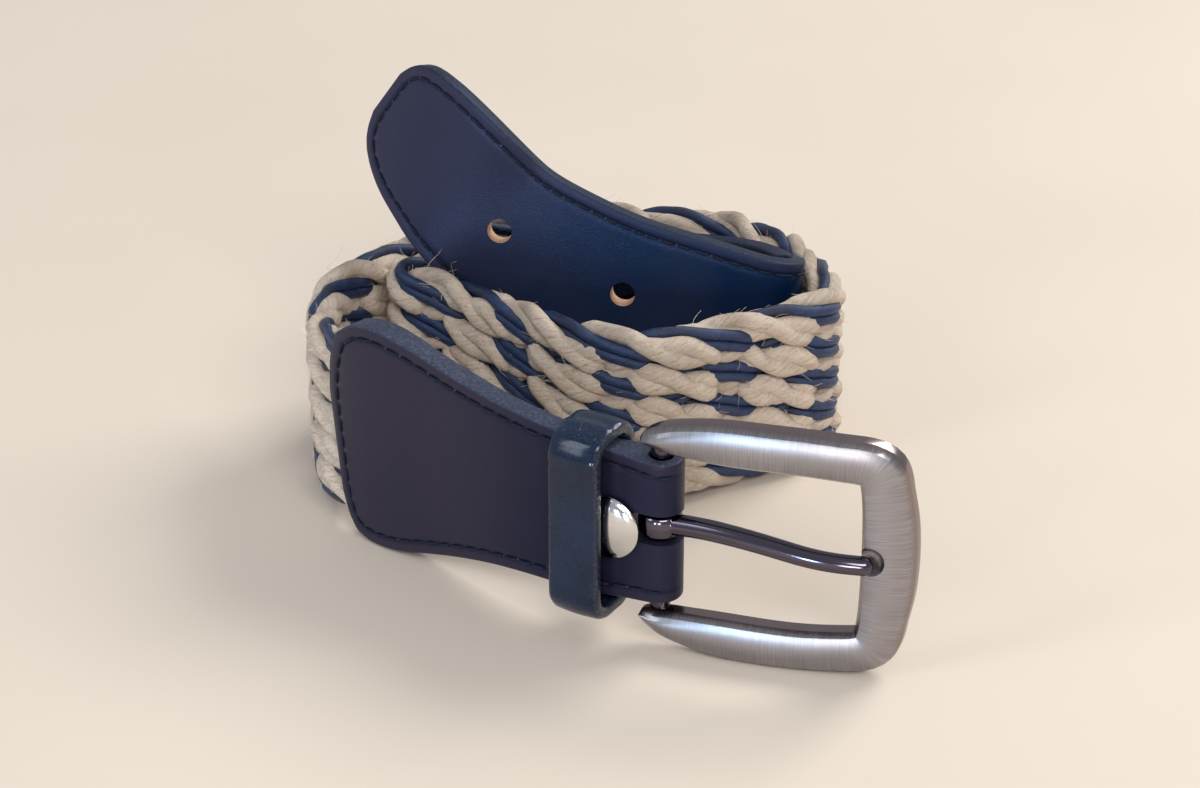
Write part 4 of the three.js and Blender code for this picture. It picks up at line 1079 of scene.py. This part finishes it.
# ------------------------------------------------------------------ buckle frame
upper = [r[1:] for r in FRAME_HALF]
outline = np.array(upper + [(u, -v, wd, th) for u, v, wd, th in upper[::-1]])
ok = np.concatenate(([0], np.cumsum(np.linalg.norm(np.diff(outline[:, :2], axis=0), axis=1))))
OA = [spline(ok, outline[:, c]) for c in range(4)]
arch = lambda u: FRAME_FRONT - FRAME_ARCH * (u - FRAME_CREST) ** 2
qs = np.concatenate([np.linspace(0, 2, 9)[:-1], np.linspace(2, ok[-1] - 2, 150), np.linspace(ok[-1] - 2, ok[-1], 9)[1:]])
fv, f_lay, f_face = [], [], []
for q in qs:
    e = 0.02
    u, v, wide, thick = (float(f(q)) for f in OA)
    wide /= 2; thick /= 2
    du = float(OA[0](min(ok[-1], q + e)) - OA[0](max(0, q - e))); dv = float(OA[1](min(ok[-1], q + e)) - OA[1](max(0, q - e)))
    l = math.hypot(du, dv); ou, ov = -dv / l, du / l
    tip_d = min(q, ok[-1] - q)
    k = math.sqrt(max(0.0, 1 - (1 - min(tip_d / 1.1, 1)) ** 2)) * 0.35 + 0.65
    b = min(FRAME_BEVEL, wide * 0.55, thick * 0.7)
    wide *= k
    # outer side, bevel, crowned front, bevel, inner side, back
    pts = [(wide, -thick + b * 0.6, 0.1), (wide, thick - b * 1.25, 0.1), (wide - 0.10, thick - b * 0.98, 0.2), (wide - b * 0.78, thick - 0.10, 0.8), (wide - b, thick, 1)]
    for x in np.linspace(1, -1, 9)[1:-1]:
        pts.append(((wide - b) * x, thick + FRAME_CROWN * (1 - x * x), 1))
    pts += [(-wide + b, thick, 1), (-wide + b * 0.78, thick - 0.10, 0.8), (-wide + 0.10, thick - b * 0.98, 0.2), (-wide, thick - b * 1.25, 0.1), (-wide, -thick + b * 0.6, 0.1),
            (-wide + b * 0.25, -thick + b * 0.15, 0.1), (-wide + b * 0.6, -thick, 0.3), (0, -thick, 0.4), (wide - b * 0.6, -thick, 0.3), (wide - b * 0.25, -thick + b * 0.15, 0.1)]
    pts = pts[::-1]
    ring = np.array([at_buckle(u + ou * a, arch(u + ou * a) + n, v + ov * a) for a, n, _ in pts])
    fv.append(ring); f_lay.append([(q, a, n) for a, n, _ in pts]); f_face.append([x for _, _, x in pts])
fv = np.array(fv)
n, m = fv.shape[:2]
f_faces = grid_faces(n, m).tolist() + [list(range(m))[::-1], [(n - 1) * m + j for j in range(m)]]
buckle = make("buckle", fv.reshape(-1, 3), f_faces, [NICKEL, DARK_NICKEL], None)
tidy(buckle)
boolean(buckle, cylinder(BAR_R, at_buckle(0, 0, -17.6), at_buckle(0, 0, 17.6), 40), "UNION")
dq = DIMPLE
sph = []
rings, segs = 18, 36
for i in range(1, rings):
    for j in range(segs):
        th, ph = math.pi * i / rings, 2 * math.pi * j / segs
        sph.append((math.sin(th) * math.cos(ph), math.sin(th) * math.sin(ph), math.cos(th)))
sph = np.array(sph + [(0, 0, 1), (0, 0, -1)]) * dq[3]
sphere_v = at_buckle(dq[0] + sph[:, 0], dq[1] + sph[:, 1], dq[2] + sph[:, 2])
sf = grid_faces(rings - 1, segs).tolist()
top_i, bot_i = (rings - 1) * segs, (rings - 1) * segs + 1
for j in range(segs):
    sf.append([top_i, j, (j + 1) % segs]); sf.append([bot_i, (rings - 2) * segs + (j + 1) % segs, (rings - 2) * segs + j])
ball = make("cutter", sphere_v, sf, [])
tidy(ball)
boolean(buckle, ball, "DIFFERENCE")
carry(buckle, fv.reshape(-1, 3), {"lay": np.array(f_lay).reshape(-1, 3), "face": np.array(f_face).ravel()})
for poly in buckle.data.polygons:
    c = np.array(poly.center) / MM - BAR
    if math.hypot(c @ U_DIR, c @ N_DIR) < BAR_R + 0.05 and abs(c[2]) < 16.5:
        poly.material_index = 1
sharpen(buckle, 27)
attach(buckle, "buckle"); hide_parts("buckle_frame")


# ------------------------------------------------------------------ prong
line = np.array(PRONG_LINE)
lk = np.concatenate(([0], np.cumsum(np.linalg.norm(np.diff(line, axis=0), axis=1))))
LA = [spline(lk, line[:, c]) for c in range(3)]
q = np.linspace(0, lk[-1], 70)
body_pts = at_buckle(LA[0](q), LA[1](q), LA[2](q))
t = unit(np.gradient(body_pts, axis=0))
over_q = np.sin(np.linspace(0, math.pi / 2, 9)[1:])
endp = body_pts[-1] + t[-1] * (over_q * PRONG_R * 0.9)[:, None]
pts = np.concatenate([body_pts, endp])
tt = np.concatenate([t, np.repeat(t[-1:], len(endp), 0)])
rad = np.concatenate([PRONG_R * (1 - 0.12 * q / lk[-1]), PRONG_R * 0.88 * np.sqrt(np.clip(1 - (0.985 * over_q) ** 2, 0.0, 1))])
front = unit(np.cross(UP, tt)); side_v = unit(np.cross(tt, front))
pile = Pile()
pile.tube(pts, front, side_v, rad * 0.97, rad, 24)
pr_v = np.concatenate(pile.v)
prong = make("prong_wire", pr_v, pile.f, [DARK_NICKEL], None)
tidy(prong)
eye_mid, eye_deep, eye_high = (PRONG_RING_R + PRONG_BORE_R - 0.3) / 2, (PRONG_RING_R - PRONG_BORE_R + 0.3) / 2, PRONG_RING_H / 2
g = np.arange(28) * 2 * math.pi / 28
er = eye_mid + eye_deep * np.sign(np.cos(g)) * np.abs(np.cos(g)) ** 0.8
ez = PRONG_V + eye_high * np.sign(np.sin(g)) * np.abs(np.sin(g)) ** 0.8
turns = np.arange(64) * 2 * math.pi / 64
ev = np.concatenate([at_buckle(er * math.cos(x), er * math.sin(x), ez) for x in turns])
ef = [[i * 28 + j, i * 28 + (j + 1) % 28, ((i + 1) % 64) * 28 + (j + 1) % 28, ((i + 1) % 64) * 28 + j] for i in range(64) for j in range(28)]
eye = make("cutter", ev, ef, [])
tidy(eye)
boolean(prong, eye, "UNION")
boolean(prong, cylinder(PRONG_BORE_R, at_buckle(0, 0, -10), at_buckle(0, 0, 10), 40), "DIFFERENCE")
lay = np.stack([np.repeat(np.arange(len(pts)) * 0.5, 24), np.tile(np.cos(np.arange(24) * 2 * math.pi / 24) * 2, len(pts)), np.tile(np.sin(np.arange(24) * 2 * math.pi / 24) * 2, len(pts))], 1)
carry(prong, pr_v, {"lay": lay, "face": np.zeros(len(pr_v))})
bev = prong.modifiers.new("soft", "BEVEL")
bev.width, bev.segments, bev.limit_method, bev.angle_limit = 0.0004, 3, "ANGLE", math.radians(50)
dg = bpy.context.evaluated_depsgraph_get()
me = bpy.data.meshes.new_from_object(prong.evaluated_get(dg))
prong.modifiers.clear(); prong.data = me
sharpen(prong, 50)
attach(prong, "prong"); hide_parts("prong")


# ------------------------------------------------------------------ floor, lights, camera
fm, fnt, fb = material("pale_floor")
fn = noise(fnt, obj_coord(fnt), 9, 2, 0.5)
fnt.links.new(ramp(fnt, fn, (0.3, (0.66, 0.575, 0.485)), (0.7, (0.69, 0.605, 0.515))), fb.inputs["Base Color"])
fb.inputs["Roughness"].default_value = 0.75
bpy.ops.mesh.primitive_plane_add(size=6, location=(0, 1.2, -0.00005))
floor = bpy.context.object
floor.name = "floor"
floor.data.materials.append(fm)

world = bpy.data.worlds.new("studio")
bpy.context.scene.world = world
world.use_nodes = True
bg = world.node_tree.nodes["Background"]
bg.inputs["Color"].default_value = (0.90, 0.94, 1.0, 1)
bg.inputs["Strength"].default_value = 0.46
bpy.context.scene.view_settings.view_transform = "Standard"


def area(name, where, aim, size, power, colour=(1, 1, 1)):
    d = bpy.data.lights.new(name, "AREA")
    d.shape = "RECTANGLE"
    d.size, d.size_y = size
    d.energy = power
    d.color = colour
    o = bpy.data.objects.new(name, d)
    bpy.context.scene.collection.objects.link(o)
    o.location = where
    o.rotation_euler = (Vector(aim) - Vector(where)).to_track_quat("-Z", "Y").to_euler()
    return o


area("key", (0.70, 0.50, 0.85), (0, 0.0, 0.02), (0.6, 0.6), 10.5, (1.0, 0.97, 0.93))
area("front", (-0.45, -0.88, 0.09), (0.03, -0.05, 0.03), (0.08, 0.16), 2.3, (0.50, 0.74, 1.0))
area("end", (-0.12, -0.98, 0.10), (0.03, -0.05, 0.02), (0.16, 0.18), 1.6, (1.0, 0.96, 0.97))
area("fill", (0.25, -0.95, 0.75), (0, 0, 0.02), (0.7, 0.4), 7.4, (1.0, 0.97, 0.94))
area("left", (-0.75, -0.45, 0.55), (0, 0, 0.03), (0.25, 0.45), 2.0, (0.85, 0.92, 1.0))

cam = bpy.data.cameras.new("camera")
cam.lens, cam.sensor_width, cam.sensor_fit = 90, 36, "HORIZONTAL"
cam.clip_start = 0.01
co = bpy.data.objects.new("camera", cam)
bpy.context.scene.collection.objects.link(co)
co.location = (0.000826, -0.474717, 0.2649)
co.rotation_euler = (math.radians(63), 0, 0)
bpy.context.scene.camera = co
